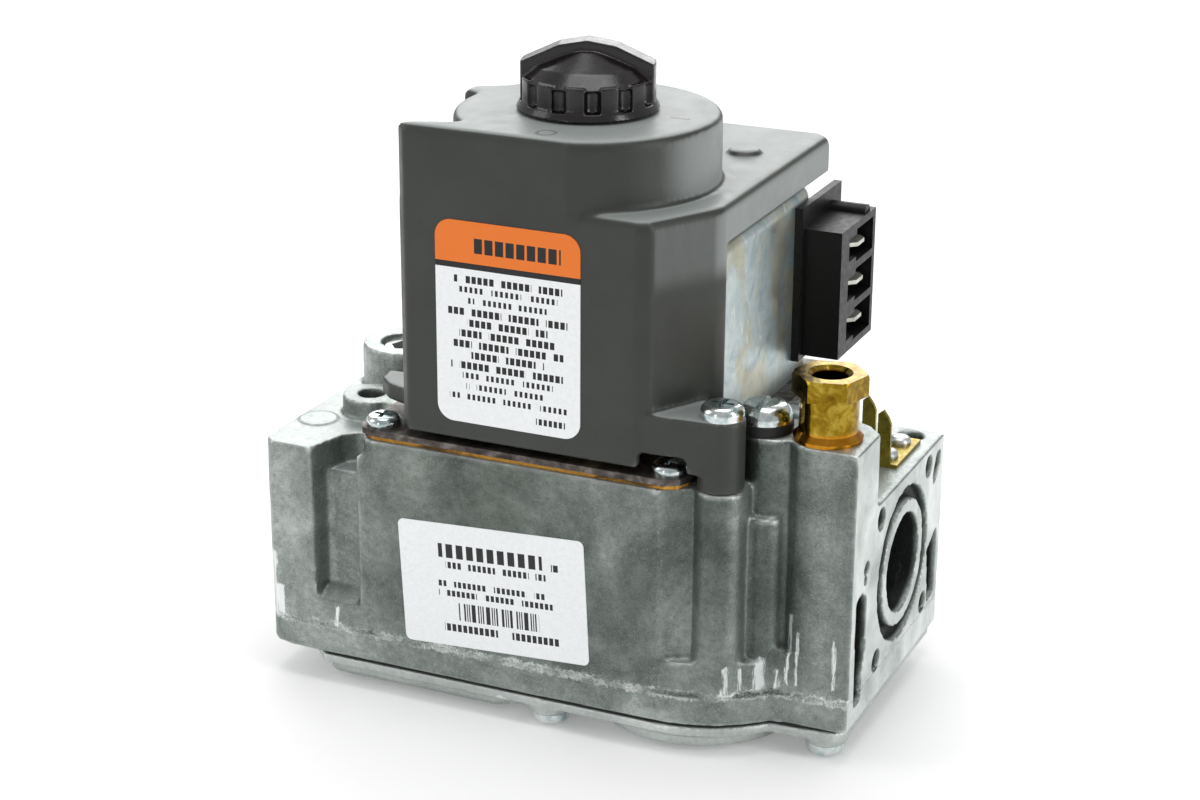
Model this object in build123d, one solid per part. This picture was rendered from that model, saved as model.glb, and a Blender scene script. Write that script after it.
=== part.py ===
"""Gas control valve with electric operators, knob, servo regulator and pilot outlet.

Frame: millimetres, origin at the centre of the outlet port on the outlet face,
+X out of the outlet, +Y towards the back of the valve, +Z up.
"""
import math
import os

from build123d import *

os.makedirs("parts", exist_ok=True)

# ---------------------------------------------------------------- overall sizes
BODY_L = 116.5            # inlet face to outlet face
FRONT = -39.4             # front wall
BACK = 34.0               # back wall of the middle block
FLANGE_BACK = 24.0        # back of the inlet and outlet blocks
SEAM_Z = -22.4            # underside of the casting
INLET_Z = 19.8            # top of the inlet block
DECK_Z = 23.5             # top of the middle block
OUTLET_Z = 17.9           # top of the outlet block
COLUMN_Z = 32.2           # top of the pilot column
FIT = 0.3                 # gap between pieces that move past each other
RUN = 0.06                # radial running clearance of a shaft in its hole

# ---------------------------------------------------------------- ports
PORT_R = 9.6              # tapped port, minor radius (half-inch pipe)
PORT_DEEP = 18.0
BOLT_SQ = 28.6            # flange screw square at the outlet
BOLT_SQ_IN = 26.6         # the same at the inlet
BOLT_R = 2.0              # tapping hole of the flange screws
BOLT_DEEP = 9.0
SEAL_OUT = 15.0           # seal groove round the outlet
SEAL_IN = 12.4
SEAL_DEEP = 2.4

# ---------------------------------------------------------------- main stations
INLET_X = -BODY_L
SCREEN_X = -99.5         # inner end of the inlet port, where the screen sits
MID_X0 = -96.0            # left end of the middle block
MID_X1 = -34.6            # step at the right end of the front wall
KNOB_X, KNOB_Y = -59.0, -15.0
MAIN_X, MAIN_Y = -34.0, -17.5
COIL1_X, COIL2_X = -71.0, -45.5
COIL_Y = 12.0
REG_X, REG_Y = -20.0, -23.5
PILOT_X, PILOT_Y = -8.0, -23.2
TRIM_X, TRIM_Y = -16.4, -11.4
TRIM_TOP = 30.6           # top of the small tower over the pilot trim screw
WEB_Z0, WEB_Z1 = 0.0, 3.0  # horizontal web with the valve seats

# ---------------------------------------------------------------- bottom cover
GASKET_T = 0.5
FLANGE_T = 2.0
COVER_DROP = 5.4          # seam to the lowest face of the bottom cover
DISC_R = 20.6             # round diaphragm housing
DIA_R = 17.0              # diaphragm cavity
BELT_TOP = -16.4
DRUM_R = 25.6
DRUM_TOP = -10.3

# ---------------------------------------------------------------- top plate
PLATE_GASKET = 0.8
PLATE_T = 1.2
PLATE_Z = DECK_Z + PLATE_GASKET
TOP_Z = PLATE_Z + PLATE_T

# ---------------------------------------------------------------- operator cover
COVER_X0 = -86.6
COVER_X1 = -28.6
COVER_BACK = 34.6
COVER_Z0 = 26.6
LEDGE_Z = 72.4
CAP_Z = 85.2
CAP_R = 24.6
COVER_T = 2.2
FOOT_TOP = 37.0

# ---------------------------------------------------------------- knob
KNOB_FLANGE_R = 13.2
KNOB_BODY_R = 12.2
KNOB_H = 12.6             # underside of the knob to the top of its finger bar
KNOB_BAND = 6.0           # height of the fluted band
KNOB_BAR = 5.0            # width of the finger bar
KNOB_TURN = 18.0          # lie of the finger bar in the closed position
KNOB_LOBES = 12           # grip pads round the band
SHAFT_R = 3.0
SHAFT_TOP = CAP_Z + 8.5

# ---------------------------------------------------------------- solenoids
COIL_R = 11.4
COIL_Z0, COIL_Z1 = 33.0, 59.9   # winding space between the bobbin's end flanges
TUBE_R = 5.2
TUBE_IN = 4.3
PLUNGER_R = TUBE_IN - RUN
FRAME_T = 1.6
FRAME_BEND = 2.8          # outer radius of the bend at the top right
FRAME_X1 = -30.8
FRAME_Z1 = 63.6

# ---------------------------------------------------------------- fasteners
SCREW_R = 1.9             # shank of the cover and plate screws
HEAD_R = 3.7


def box(x0, x1, y0, y1, z0, z1):
    return Pos((x0 + x1) / 2, (y0 + y1) / 2, (z0 + z1) / 2) * Box(
        abs(x1 - x0), abs(y1 - y0), abs(z1 - z0))


def cyl(x, y, z0, z1, r):
    return Pos(x, y, (z0 + z1) / 2) * Cylinder(r, abs(z1 - z0))


def cone(x, y, z0, z1, r0, r1):
    return Pos(x, y, (z0 + z1) / 2) * Cone(r0, r1, abs(z1 - z0))


def cylx(x0, x1, y, z, r):
    return Pos((x0 + x1) / 2, y, z) * Rot(0, 90, 0) * Cylinder(r, abs(x1 - x0))


def cyly(x, y0, y1, z, r):
    return Pos(x, (y0 + y1) / 2, z) * Rot(90, 0, 0) * Cylinder(r, abs(y1 - y0))


def tube(x, y, z0, z1, ro, ri):
    return cyl(x, y, z0, z1, ro) - cyl(x, y, z0 - 1, z1 + 1, ri)


def prism(points, z0, z1):
    face = make_face(Polyline(*[(p[0], p[1], z0) for p in points], close=True))
    return extrude(face, amount=z1 - z0, dir=(0, 0, 1))


def prism_y(points, y0, y1):
    face = make_face(Polyline(*[(p[0], y0, p[1]) for p in points], close=True))
    return extrude(face, amount=y1 - y0, dir=(0, 1, 0))


def prism_x(points, x0, x1):
    face = make_face(Polyline(*[(x0, p[0], p[1]) for p in points], close=True))
    return extrude(face, amount=x1 - x0, dir=(1, 0, 0))


def rbox(x0, x1, y0, y1, z0, z1, r):
    block = box(x0, x1, y0, y1, z0, z1)
    return fillet(block.edges().filter_by(Axis.Z), r)


def arc_points(cx, cy, r, a0, a1, n):
    out = []
    for i in range(n + 1):
        a = math.radians(a0 + (a1 - a0) * i / n)
        out.append((cx + r * math.cos(a), cy + r * math.sin(a)))
    return out


def hexagon(x, y, z0, z1, across, turn=0.0):
    r = across / 2 / math.cos(math.radians(30))
    pts = [(x + r * math.cos(math.radians(60 * i + turn)),
            y + r * math.sin(math.radians(60 * i + turn))) for i in range(6)]
    return prism(pts, z0, z1)


def helix_coil(x, y, z0, z1, r, turns, wire, turn=0.0):
    """Compression spring: a round wire swept along a helix, ends inside z0..z1."""
    pitch = (z1 - z0 - 2 * wire) / turns
    path = Helix(pitch, pitch * turns, r, center=(0, 0, 0))
    start = path @ 0
    tangent = path % 0
    section = Plane(origin=start, z_dir=tangent) * Circle(wire)
    coil = sweep(section, path=path, is_frenet=True)
    return Pos(x, y, z0 + wire) * Rot(0, 0, turn) * coil


def pan_screw(x, y, z_seat, length, shank_r, head_r, head_h, up=True, drive="slot"):
    """Pan-head screw; head on the +Z side when up, on the -Z side otherwise."""
    s = 1 if up else -1
    shank = cyl(x, y, z_seat, z_seat - s * length, shank_r)
    head = cyl(x, y, z_seat, z_seat + s * head_h, head_r)
    rim = head.edges().filter_by(GeomType.CIRCLE).sort_by(Axis.Z)
    head = fillet([rim[-1] if up else rim[0]], head_h * 0.62)
    top = z_seat + s * head_h
    if drive == "slot":
        cut = box(x - head_r * 2, x + head_r * 2, y - 0.45, y + 0.45, top, top - s * 1.0)
        keep = head - cut
    else:
        bar = box(x - head_r * 0.55, x + head_r * 0.55, y - 0.5, y + 0.5, top, top - s * 1.3)
        keep = head - bar - Pos(x, y, 0) * Rot(0, 0, 90) * Pos(-x, -y, 0) * bar
    return shank + keep


def group(solids):
    return Compound(children=list(solids))


PARTS = {}


def add(name, shape):
    PARTS[name] = shape


# ================================================================ body casting
def seam_outline(grow=0.0):
    """Plan outline of the belt round the underside, going anticlockwise."""
    f = FRONT - grow
    r = DRUM_R + 0.9 + grow
    cx, cy = -34.5, FRONT + DRUM_R + 0.9
    pts = [(INLET_X + 5, f), (MID_X1 + 0.1, f)]
    pts += arc_points(cx, cy, r, -84, -42, 9)
    pts += [(-13.4, -30.6 - grow), (-11.5, -30.1 - grow), (0.0, -30.1 - grow)]
    pts += [(0.0, FLANGE_BACK), (-24.0, FLANGE_BACK), (-27.0, BACK - 2.0)]
    pts += [(-29.0, BACK), (MID_X0 + 2, BACK), (MID_X0, BACK - 2.0)]
    pts += [(MID_X0, FLANGE_BACK), (INLET_X, FLANGE_BACK), (INLET_X, f + 5), (INLET_X + 2.2, f + 1)]
    return pts


def body_casting():
    inlet = prism([(INLET_X, FRONT + 2.4), (INLET_X + 1.8, FRONT + 0.3), (INLET_X + 4.5, FRONT),
                   (-94, FRONT), (-94, FLANGE_BACK), (INLET_X, FLANGE_BACK)], SEAM_Z, INLET_Z)
    mid = prism([(MID_X0, FRONT + 5.2), (MID_X0 + 0.5, FRONT + 2.6), (MID_X0 + 1.9, FRONT + 0.8),
                 (MID_X0 + 4.2, FRONT), (MID_X1, FRONT), (MID_X1 + 1.2, FRONT + 1.6), (-28, FRONT + 4), (-24.5, -30),
                 (-24.0, BACK - 4), (-28.0, BACK), (MID_X0 + 3, BACK), (MID_X0, BACK - 3)],
                SEAM_Z, DECK_Z)
    outlet = box(-30, 0, -25.5, FLANGE_BACK, SEAM_Z, OUTLET_Z)
    foot = box(-30, 0, -30.1, FLANGE_BACK, SEAM_Z, DRUM_TOP + 2)
    column = prism([(-14.8, -17.2), (-15.2, -23.5), (-14.2, -27.2), (-11.4, -29.4), (-8.6, -30.1),
                    (0, -30.1), (0, -17.2), (-3.0, -14.0), (-6.5, -12.4), (-10.5, -12.6)],
                   SEAM_Z, COLUMN_Z)
    drum = cyl(-34.5, FRONT + DRUM_R + 0.4, SEAM_Z, DRUM_TOP, DRUM_R)
    belt = prism(seam_outline(0.5), SEAM_Z, BELT_TOP)
    shell = inlet + outlet + foot + column + drum + belt

    # column under the cover screw, regulator tower and the half-round boss before it
    shell += cyl(-24.5, -33.2, SEAM_Z, DECK_Z, 4.6)
    shell += box(-29.1, -19.9, -33.2, -24, SEAM_Z, DECK_Z)
    shell += cyl(REG_X + 1.8, REG_Y + 1.0, SEAM_Z, COLUMN_Z, 6.6)
    shell += cyl(-17.9, -27.6, SEAM_Z, 17.5, 3.6)
    shell += cyl(TRIM_X, TRIM_Y, SEAM_Z + 6, TRIM_TOP, 4.6)

    # bosses on the inlet block: plain holed boss, tall tapped boss, round cast pad
    shell += cyl(-104.6, -16.9, INLET_Z - 2, INLET_Z + 3.9, 5.7)
    shell += box(-104.6, MID_X0 + 1, -20.5, -12.5, INLET_Z - 2, INLET_Z + 3.7)
    shell += cyl(-106.8, 1.0, INLET_Z - 2, INLET_Z + 8.8, 8.4)
    shell += cyl(-112.0, -25.2, INLET_Z - 1, INLET_Z + 0.35, 3.7)

    # corner recess in the front of the inlet block, with its stepped panel
    recess = prism([(-106.2, FRONT - 1), (-103.4, -30.5), (-101.6, -28.6), (-98.0, -28.0),
                    (MID_X0, -29.4), (MID_X0, FRONT - 1)], -8.6, DECK_Z + 1)
    lip = prism_x([(FRONT - 1, -8.6), (-33.2, -8.6), (FRONT - 1, -12.4)], -105.6, MID_X0)
    shell -= recess
    shell -= lip
    shell += box(-103.9, MID_X0 + 1, -34.8, -27, -9.5, 14.2)

    shell += mid

    # shallow recess right of the front wall
    shell -= cyl(-31.3, FRONT - 1.0, DRUM_TOP + 0.2, DECK_Z + 1, 3.1)

    # outlet face: port, seal groove, screw holes and cored pockets
    shell -= cylx(-PORT_DEEP, 1, 0, 0, PORT_R)
    groove = cylx(-SEAL_DEEP, 1, 0, 0, SEAL_OUT) - cylx(-SEAL_DEEP - 1, 2, 0, 0, SEAL_IN)
    shell -= groove
    for sy in (-1, 1):
        for sz in (-1, 1):
            shell -= cylx(-BOLT_DEEP, 1, sy * BOLT_SQ / 2, sz * BOLT_SQ / 2, BOLT_R)
            shell -= cylx(INLET_X - 1, INLET_X + BOLT_DEEP, sy * BOLT_SQ_IN / 2,
                          sz * BOLT_SQ_IN / 2, BOLT_R)
    near = [(-27.2, 2.6), (-24.2, 3.4), (-21.6, 1.6), (-21.4, -9.5), (-23.0, -14.0), (-22.6, -18.4),
            (-26.6, -18.6)]
    far_low = [(15.8, -4.0), (21.6, -1.0), (21.6, -14.6), (17.6, -15.6), (16.6, -8.0)]
    far_top = [(18.2, 9.0), (21.8, 12.0), (21.8, 15.4), (19.8, 15.4), (17.4, 11.2)]
    for outline in (near, far_low, far_top):
        shell -= prism_x(outline, -5.5, 1)
    shell -= cylx(-3.0, 1, -22.0, 7.6, 1.3)
    shell -= cylx(-3.0, 1, -22.4, 5.4, 0.9)

    # inlet face: port
    shell -= cylx(INLET_X - 1, SCREEN_X + 0.5, 0, 0, PORT_R)

    # chambers. A: inlet chamber, B: above the first seat, P: below it, C: above the main seat
    shell -= box(SCREEN_X + 1.2, -87.0, -12.0, 19.5, -14.0, 15.0)
    shell -= cylx(SCREEN_X, SCREEN_X + 2.0, 0, 0, PORT_R + 0.9)
    shell -= box(-90.0, -33.0, 0.0, 28.0, WEB_Z1, DECK_Z + 1)
    shell -= box(-83.0, -53.5, -23.0, 24.0, -14.0, WEB_Z0)
    shell -= box(-70.5, -22.6, -33.0, -3.0, WEB_Z1, DECK_Z + 1)
    shell += box(-60.0, -54.0, -1.0, 30.5, WEB_Z0, DECK_Z)
    shell += box(-54.5, -31.5, -1.0, 30.5, WEB_Z0, 12.0)

    # seats: first valve, rotary shut-off ports, main valve, servo valve
    shell -= cyl(COIL1_X, COIL_Y, WEB_Z0 - 1, WEB_Z1 + 1, 6.5)
    for s in (-1, 1):
        shell -= cyl(KNOB_X, KNOB_Y + s * 5.6, WEB_Z0 - 1, WEB_Z1 + 1, 3.0)
    shell -= cyl(MAIN_X, MAIN_Y, WEB_Z0 - 1, WEB_Z1 + 1, 8.0)
    shell -= cyl(COIL2_X, COIL_Y, 2.0, 13.0, 1.6)

    # outlet chamber above the diaphragm and its way to the outlet port
    shell -= cyl(MAIN_X, MAIN_Y, SEAM_Z - 1, WEB_Z0, DIA_R)
    shell -= box(-30.0, -PORT_DEEP + 1.0, -16.0, 8.0, -12.0, -3.0)

    # pilot outlet, pilot trim screw well, regulator well, pressure taps
    shell -= cyl(PILOT_X, PILOT_Y, 14.0, COLUMN_Z + 1, 2.2)
    shell -= cyl(PILOT_X, PILOT_Y, COLUMN_Z - 9.0, COLUMN_Z + 1, 5.1)
    shell -= cyl(REG_X, REG_Y, 10.0, COLUMN_Z + 1, 4.2)
    shell -= cyl(TRIM_X, TRIM_Y, 11.5, TRIM_TOP + 1, 2.6)
    shell -= cyl(-106.8, 1.0, INLET_Z - 7.0, INLET_Z + 9, 4.6)
    shell -= cyl(-106.8, 1.0, 5.0, INLET_Z, 1.5)
    shell -= cyl(-104.6, -16.9, INLET_Z - 8.0, INLET_Z + 5, 2.6)
    shell -= cyl(-5.6, 19.8, OUTLET_Z - 8.0, OUTLET_Z + 1, 2.4)
    return shell


add("valve_body", body_casting())


# ================================================================ underside
GZ0 = SEAM_Z - GASKET_T
CZ1 = GZ0
CZ0 = SEAM_Z - COVER_DROP
UNDER_SCREWS = [(-57.0, -35.6), (-5.4, -25.8), (-106.0, -20.0), (-104.8, 16.0), (-62.0, 28.5),
                (-13.0, 17.5)]


def under_outline(inset):
    """Plan outline of the bottom cover's flange."""
    g = inset
    pts = [(-109.5 + g, -30.5), (-108.0 + g, -35.5 + g), (-104.0 + g, FRONT - 0.1 + g),
           (MID_X1 + 0.1, FRONT - 0.1 + g)]
    pts += arc_points(-34.5, FRONT + DRUM_R + 0.9, DRUM_R + 1.0 - g, -84, -42, 9)
    pts += [(-13.4, -30.7 + g), (-9.8, -30.6 + g), (-2.4 - g, -29.6 + g), (-0.9 - g, -27.5)]
    pts += [(-0.9 - g, FLANGE_BACK - 1.5 - g), (-24.0 - g, FLANGE_BACK - 1 - g)]
    pts += [(-29.0 - g, BACK - 1 - g), (MID_X0 + 1 + g, BACK - 1 - g)]
    pts += [(MID_X0 - 1 + g, FLANGE_BACK - 1 - g), (-109.5 + g, FLANGE_BACK - 1 - g)]
    return pts


def bottom_gasket():
    sheet = prism(under_outline(0.5), GZ0, SEAM_Z)
    sheet -= cyl(MAIN_X, MAIN_Y, GZ0 - 1, SEAM_Z + 1, DIA_R + 2.05)
    for x, y in UNDER_SCREWS:
        sheet -= cyl(x, y, GZ0 - 1, SEAM_Z + 1, SCREW_R + 0.35)
    return sheet


def bottom_cover():
    plate = prism(under_outline(0.0), CZ1 - FLANGE_T, CZ1)
    disc = cyl(MAIN_X, MAIN_Y, CZ0, CZ1, DISC_R)
    low = disc.edges().filter_by(GeomType.CIRCLE).sort_by(Axis.Z)[0]
    disc = fillet([low], 1.2)
    bulge = prism([(-107.5, -29.0), (-103.5, FRONT + 1.8), (-68.0, FRONT + 1.8), (-62.5, -34.6),
                   (-60.5, -28.0), (-60.5, 22.0), (-65.0, 26.0), (-102.0, 20.0), (-107.5, 14.0)],
                  CZ0, CZ1)
    bulge = chamfer(bulge.faces().sort_by(Axis.Z)[0].edges(), 1.1)
    shape = plate + disc + bulge
    for x, y in UNDER_SCREWS:
        shape += cyl(x, y, CZ1 - 3.4, CZ1, HEAD_R + 0.5)
    # servo chamber under the diaphragm and the relief in the long bulge
    shape -= cyl(MAIN_X, MAIN_Y, CZ1 - 3.6, CZ1 + 1, DIA_R)
    shape -= rbox(-102.0, -66.0, -32.0, 16.0, CZ1 - 3.2, CZ1 + 1, 4.0)
    for x, y in UNDER_SCREWS:
        shape -= cyl(x, y, CZ1 - 6, CZ1 + 1, SCREW_R + 0.3)
        shape -= cyl(x, y, CZ1 - 9, CZ1 - 3.4, HEAD_R + 0.35)
    return shape


def main_diaphragm():
    rim = tube(MAIN_X, MAIN_Y, GZ0, SEAM_Z, DIA_R + 2.0, DIA_R - 1.0)
    t = GASKET_T
    profile = [(8.0, -19.6), (11.0, -19.6), (DIA_R - 1.6, GZ0), (DIA_R - 0.6, GZ0),
               (DIA_R - 0.6, GZ0 + t), (DIA_R - 1.4, GZ0 + t), (11.2, -19.6 + t), (8.0, -19.6 + t)]
    face = make_face(Polyline(*[(r, 0, z) for r, z in profile], close=True))
    web = revolve(face, axis=Axis.Z)
    return rim + Pos(MAIN_X, MAIN_Y, 0) * web


def main_valve_stem():
    """Stem with the clamp plates that hold the middle of the diaphragm."""
    shape = cyl(MAIN_X, MAIN_Y, -21.2, WEB_Z1 + 3.0, 2.0)
    shape += cyl(MAIN_X, MAIN_Y, -19.6 + GASKET_T + 0.05, -17.9, 10.2)
    shape += cyl(MAIN_X, MAIN_Y, -21.2, -19.65, 10.2)
    shape += cyl(MAIN_X, MAIN_Y, -21.2, -18.0, 7.8)
    shape += cyl(MAIN_X, MAIN_Y, WEB_Z1 + 1.9, WEB_Z1 + 3.1, 9.6)
    shape += cyl(MAIN_X, MAIN_Y, WEB_Z1 + 3.1, WEB_Z1 + 6.5, 3.0)
    return shape


def main_valve_disc():
    return tube(MAIN_X, MAIN_Y, WEB_Z1 + 0.02, WEB_Z1 + 1.9, 10.8, 2.0)


def underside_screws():
    out = []
    for x, y in UNDER_SCREWS:
        out.append(pan_screw(x, y, CZ1 - 3.4, 10.5, SCREW_R, HEAD_R, 2.3, up=False))
    return group(out)


add("bottom_gasket", bottom_gasket())
add("bottom_cover", bottom_cover())
add("main_diaphragm", main_diaphragm())
add("main_valve_stem", main_valve_stem())
add("main_valve_disc", main_valve_disc())
add("bottom_cover_screws", underside_screws())
add("main_valve_spring", helix_coil(MAIN_X, MAIN_Y, WEB_Z1 + 3.15, DECK_Z + 0.7, 5.0, 5, 0.45))

for x, y in UNDER_SCREWS:
    PARTS["valve_body"] -= cyl(x, y, SEAM_Z - 1, SEAM_Z + 8.5, SCREW_R)

# ================================================================ top plate
PLATE_SCREWS = [(-92.0, -34.9), (-33.9, -34.6), (-92.4, 30.6), (-36.0, 30.6)]


def plate_outline(grow):
    g = grow
    return [(-96.0 - g, -36.2), (-94.8 - g, -38.2 - g), (-92.4, -39.1 - g), (-33.4, -39.1 - g),
            (-30.6 + g, -37.6), (-29.6 + g, -34.6), (-30.4 + g, -31.4), (-29.4 + g, -28.0),
            (-27.0 + g, -14.0), (-26.2 + g, 30.0), (-29.0, 33.2 + g), (-93.0, 33.2 + g),
            (-95.6 - g, 30.6), (-95.4 - g, -32.6)]


def stack_holes(shape, r_extra):
    shape -= cyl(COIL1_X, COIL_Y, DECK_Z - 1, TOP_Z + 1, TUBE_R + r_extra)
    shape -= cyl(COIL2_X, COIL_Y, DECK_Z - 1, TOP_Z + 1, TUBE_R + r_extra)
    shape -= cyl(KNOB_X, KNOB_Y, DECK_Z - 1, TOP_Z + 1, SHAFT_R + RUN)
    for x, y in PLATE_SCREWS:
        shape -= cyl(x, y, DECK_Z - 1, TOP_Z + 1, SCREW_R + 0.3)
    return shape


def top_gasket():
    sheet = prism(plate_outline(-0.5), DECK_Z, PLATE_Z)
    sheet -= box(-88.5, -62.0, 1.0, 27.2, DECK_Z - 1, PLATE_Z + 1)
    sheet -= box(-52.5, -34.0, 1.0, 27.2, DECK_Z - 1, PLATE_Z + 1)
    sheet -= box(-69.0, -24.5, -32.0, -4.0, DECK_Z - 1, PLATE_Z + 1)
    for x, y in PLATE_SCREWS:
        sheet -= cyl(x, y, DECK_Z - 1, PLATE_Z + 1, SCREW_R + 0.3)
    return sheet


def top_plate():
    plate = prism(plate_outline(0.0), PLATE_Z, TOP_Z)
    return stack_holes(plate, 0.0)


def plate_screws():
    out = []
    for x, y in PLATE_SCREWS:
        out.append(pan_screw(x, y, TOP_Z, 9.5, SCREW_R, 3.3, 1.9, up=True, drive="cross"))
    return group(out)


for x, y in PLATE_SCREWS:
    PARTS["valve_body"] -= cyl(x, y, TOP_Z - 9.6, DECK_Z + 1, SCREW_R)

add("top_gasket", top_gasket())
add("top_plate", top_plate())
add("plate_screws", plate_screws())


# ================================================================ solenoid operators
def solenoid_frame():
    y0, y1 = -19.0, 27.0
    x0 = -84.0
    low = box(x0, FRAME_X1, 0.0, y1, 29.4, 29.4 + FRAME_T)
    side = box(FRAME_X1 - FRAME_T, FRAME_X1, y0, y1, TOP_Z, FRAME_Z1)
    top = box(x0, FRAME_X1, 0.0, y1, FRAME_Z1 - FRAME_T, FRAME_Z1)
    lip = box(FRAME_X1 - 9.0, FRAME_X1, y0, 0.5, FRAME_Z1 - FRAME_T, FRAME_Z1)
    shape = low + side + top + lip
    corner = shape.edges().filter_by(Axis.Y).group_by(Axis.X)[-1].group_by(Axis.Z)[-1]
    shape = fillet(corner, FRAME_BEND)
    for cx in (COIL1_X, COIL2_X):
        shape -= cyl(cx, COIL_Y, 20, 70, TUBE_R)
    shape -= cyly(FRAME_X1 - 0.8, -14.6, -14.0, 54.0, 0.2)
    return shape


def coil(cx):
    """Bobbin with end flanges and its winding."""
    shape = cyl(cx, COIL_Y, 31.2, 62.0 - 0.2, COIL_R - 0.8)
    shape += cyl(cx, COIL_Y, 31.05, COIL_Z0, COIL_R + 0.6)
    shape += cyl(cx, COIL_Y, COIL_Z1, 61.9, COIL_R + 0.6)
    shape -= cyl(cx, COIL_Y, 30, 63, TUBE_R)
    return shape


def guide_tube(cx):
    shape = cyl(cx, COIL_Y, PLATE_Z - 0.0, FRAME_Z1 + 1.6, TUBE_R)
    shape += cyl(cx, COIL_Y, TOP_Z, 29.4, TUBE_R + 3.4)
    shape -= cyl(cx, COIL_Y, PLATE_Z - 1, 56.0, TUBE_IN)
    return shape


def plunger(cx, z0, z_disc, neck_r):
    shape = cyl(cx, COIL_Y, z0, 50.0, PLUNGER_R)
    shape += cyl(cx, COIL_Y, z_disc, z0 + 0.5, neck_r)
    shape -= cyl(cx, COIL_Y, 44.0, 51.0, 2.4)
    return shape


add("solenoid_frame", solenoid_frame())
add("coil_first", coil(COIL1_X))
add("coil_servo", coil(COIL2_X))
add("guide_tube_first", guide_tube(COIL1_X))
add("guide_tube_servo", guide_tube(COIL2_X))
SERVO_SEAT_Z = 12.0
add("plunger_first", plunger(COIL1_X, 12.0, WEB_Z1 + 2.4, 2.4)
    + cyl(COIL1_X, COIL_Y, WEB_Z1 + 2.4, WEB_Z1 + 4.0, 7.6))
add("plunger_servo", plunger(COIL2_X, 18.0, SERVO_SEAT_Z + 1.8, 2.0)
    + cyl(COIL2_X, COIL_Y, SERVO_SEAT_Z + 1.8, SERVO_SEAT_Z + 3.0, 3.8))
add("valve_disc_first", cyl(COIL1_X, COIL_Y, WEB_Z1 + 0.02, WEB_Z1 + 2.4, 8.6))
add("valve_disc_servo", cyl(COIL2_X, COIL_Y, SERVO_SEAT_Z + 0.02, SERVO_SEAT_Z + 1.8, 3.8))
add("plunger_spring_first", helix_coil(COIL1_X, COIL_Y, 44.02, 55.95, 1.75, 5, 0.3))
add("plunger_spring_servo", helix_coil(COIL2_X, COIL_Y, 44.02, 55.95, 1.75, 5, 0.3))


# ================================================================ rotary shut-off
ROTOR_Z0 = WEB_Z1 + 0.04
ROTOR_T = 3.0
FLAT = 2.2                # half height of the flat on the knob end of the shaft


def shaft():
    shape = cyl(KNOB_X, KNOB_Y, ROTOR_Z0 + ROTOR_T, SHAFT_TOP, SHAFT_R)
    shape += cyl(KNOB_X, KNOB_Y, ROTOR_Z0 + ROTOR_T, ROTOR_Z0 + ROTOR_T + 1.6, 7.4)
    cut = box(KNOB_X - 5, KNOB_X + 5, KNOB_Y + FLAT, KNOB_Y + 6, CAP_Z - 1.0, CAP_Z + 12)
    return shape - cut


def rotor_disc():
    shape = cyl(KNOB_X, KNOB_Y, ROTOR_Z0, ROTOR_Z0 + ROTOR_T, 9.6)
    for s in (-1, 1):
        shape -= cyl(KNOB_X + s * 5.6, KNOB_Y, ROTOR_Z0 - 1, ROTOR_Z0 + 5, 2.9)
    return shape


def rotor_through(shape):
    for s in (-1, 1):
        shape -= cyl(KNOB_X + s * 5.6, KNOB_Y, ROTOR_Z0 - 1, ROTOR_Z0 + 8, 2.9)
    return shape


def knob():
    zf = CAP_Z + 0.4
    flange = cone(KNOB_X, KNOB_Y, zf, zf + 1.4, KNOB_FLANGE_R, KNOB_FLANGE_R - 0.7)
    barrel = cyl(KNOB_X, KNOB_Y, zf + 1.0, zf + KNOB_BAND, KNOB_BODY_R)
    for i in range(KNOB_LOBES):
        a = math.radians(360 / KNOB_LOBES * i - 61.8)
        rr = KNOB_BODY_R + 0.1
        barrel -= cyl(KNOB_X + rr * math.cos(a), KNOB_Y + rr * math.sin(a), zf + 1.4, zf + 12, 1.5)
    # two cones make the crowned top between the band and the finger bar
    brow = KNOB_BODY_R - 3.0
    dome = cone(KNOB_X, KNOB_Y, zf + KNOB_BAND - 0.6, zf + KNOB_H - 4.8, KNOB_BODY_R - 0.2, brow)
    dome += cone(KNOB_X, KNOB_Y, zf + KNOB_H - 4.8, zf + KNOB_H - 2.0, brow, 3.2)
    # finger bar across the top, its ridge rising to the middle
    half = KNOB_BODY_R + 0.2
    low = zf + KNOB_H - 4.2
    ridge = [(-half, zf + 1.2), (half, zf + 1.2), (half, low), (half * 0.42, zf + KNOB_H - 0.9),
             (0, zf + KNOB_H), (-half * 0.42, zf + KNOB_H - 0.9), (-half, low)]
    bar = prism_y(ridge, -KNOB_BAR / 2, KNOB_BAR / 2)
    bar = Pos(KNOB_X, KNOB_Y, 0) * Rot(0, 0, KNOB_TURN) * bar
    bar &= cyl(KNOB_X, KNOB_Y, zf, zf + 20, KNOB_BODY_R + 0.15)
    shape = flange + barrel + dome + bar
    bore = cyl(KNOB_X, KNOB_Y, zf - 1, SHAFT_TOP + 0.3, SHAFT_R)
    bore -= box(KNOB_X - 5, KNOB_X + 5, KNOB_Y + FLAT, KNOB_Y + 6, CAP_Z - 1.0, CAP_Z + 12)
    return shape - bore


add("knob", knob())
add("knob_shaft", rotor_through(shaft()))
add("rotor_disc", rotor_disc())
add("rotor_spring", helix_coil(KNOB_X, KNOB_Y, ROTOR_Z0 + ROTOR_T + 1.62, PLATE_Z - 0.3, 4.4, 4, 0.4, 90.0))
add("shaft_seal", Pos(KNOB_X, KNOB_Y, TOP_Z + 1.1) * Torus(SHAFT_R + 1.15, 1.05))


# ================================================================ operator cover
FOOTS = [(-24.5, -33.2), (-90.6, 22.0)]
FOOT_R = 4.3


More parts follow.
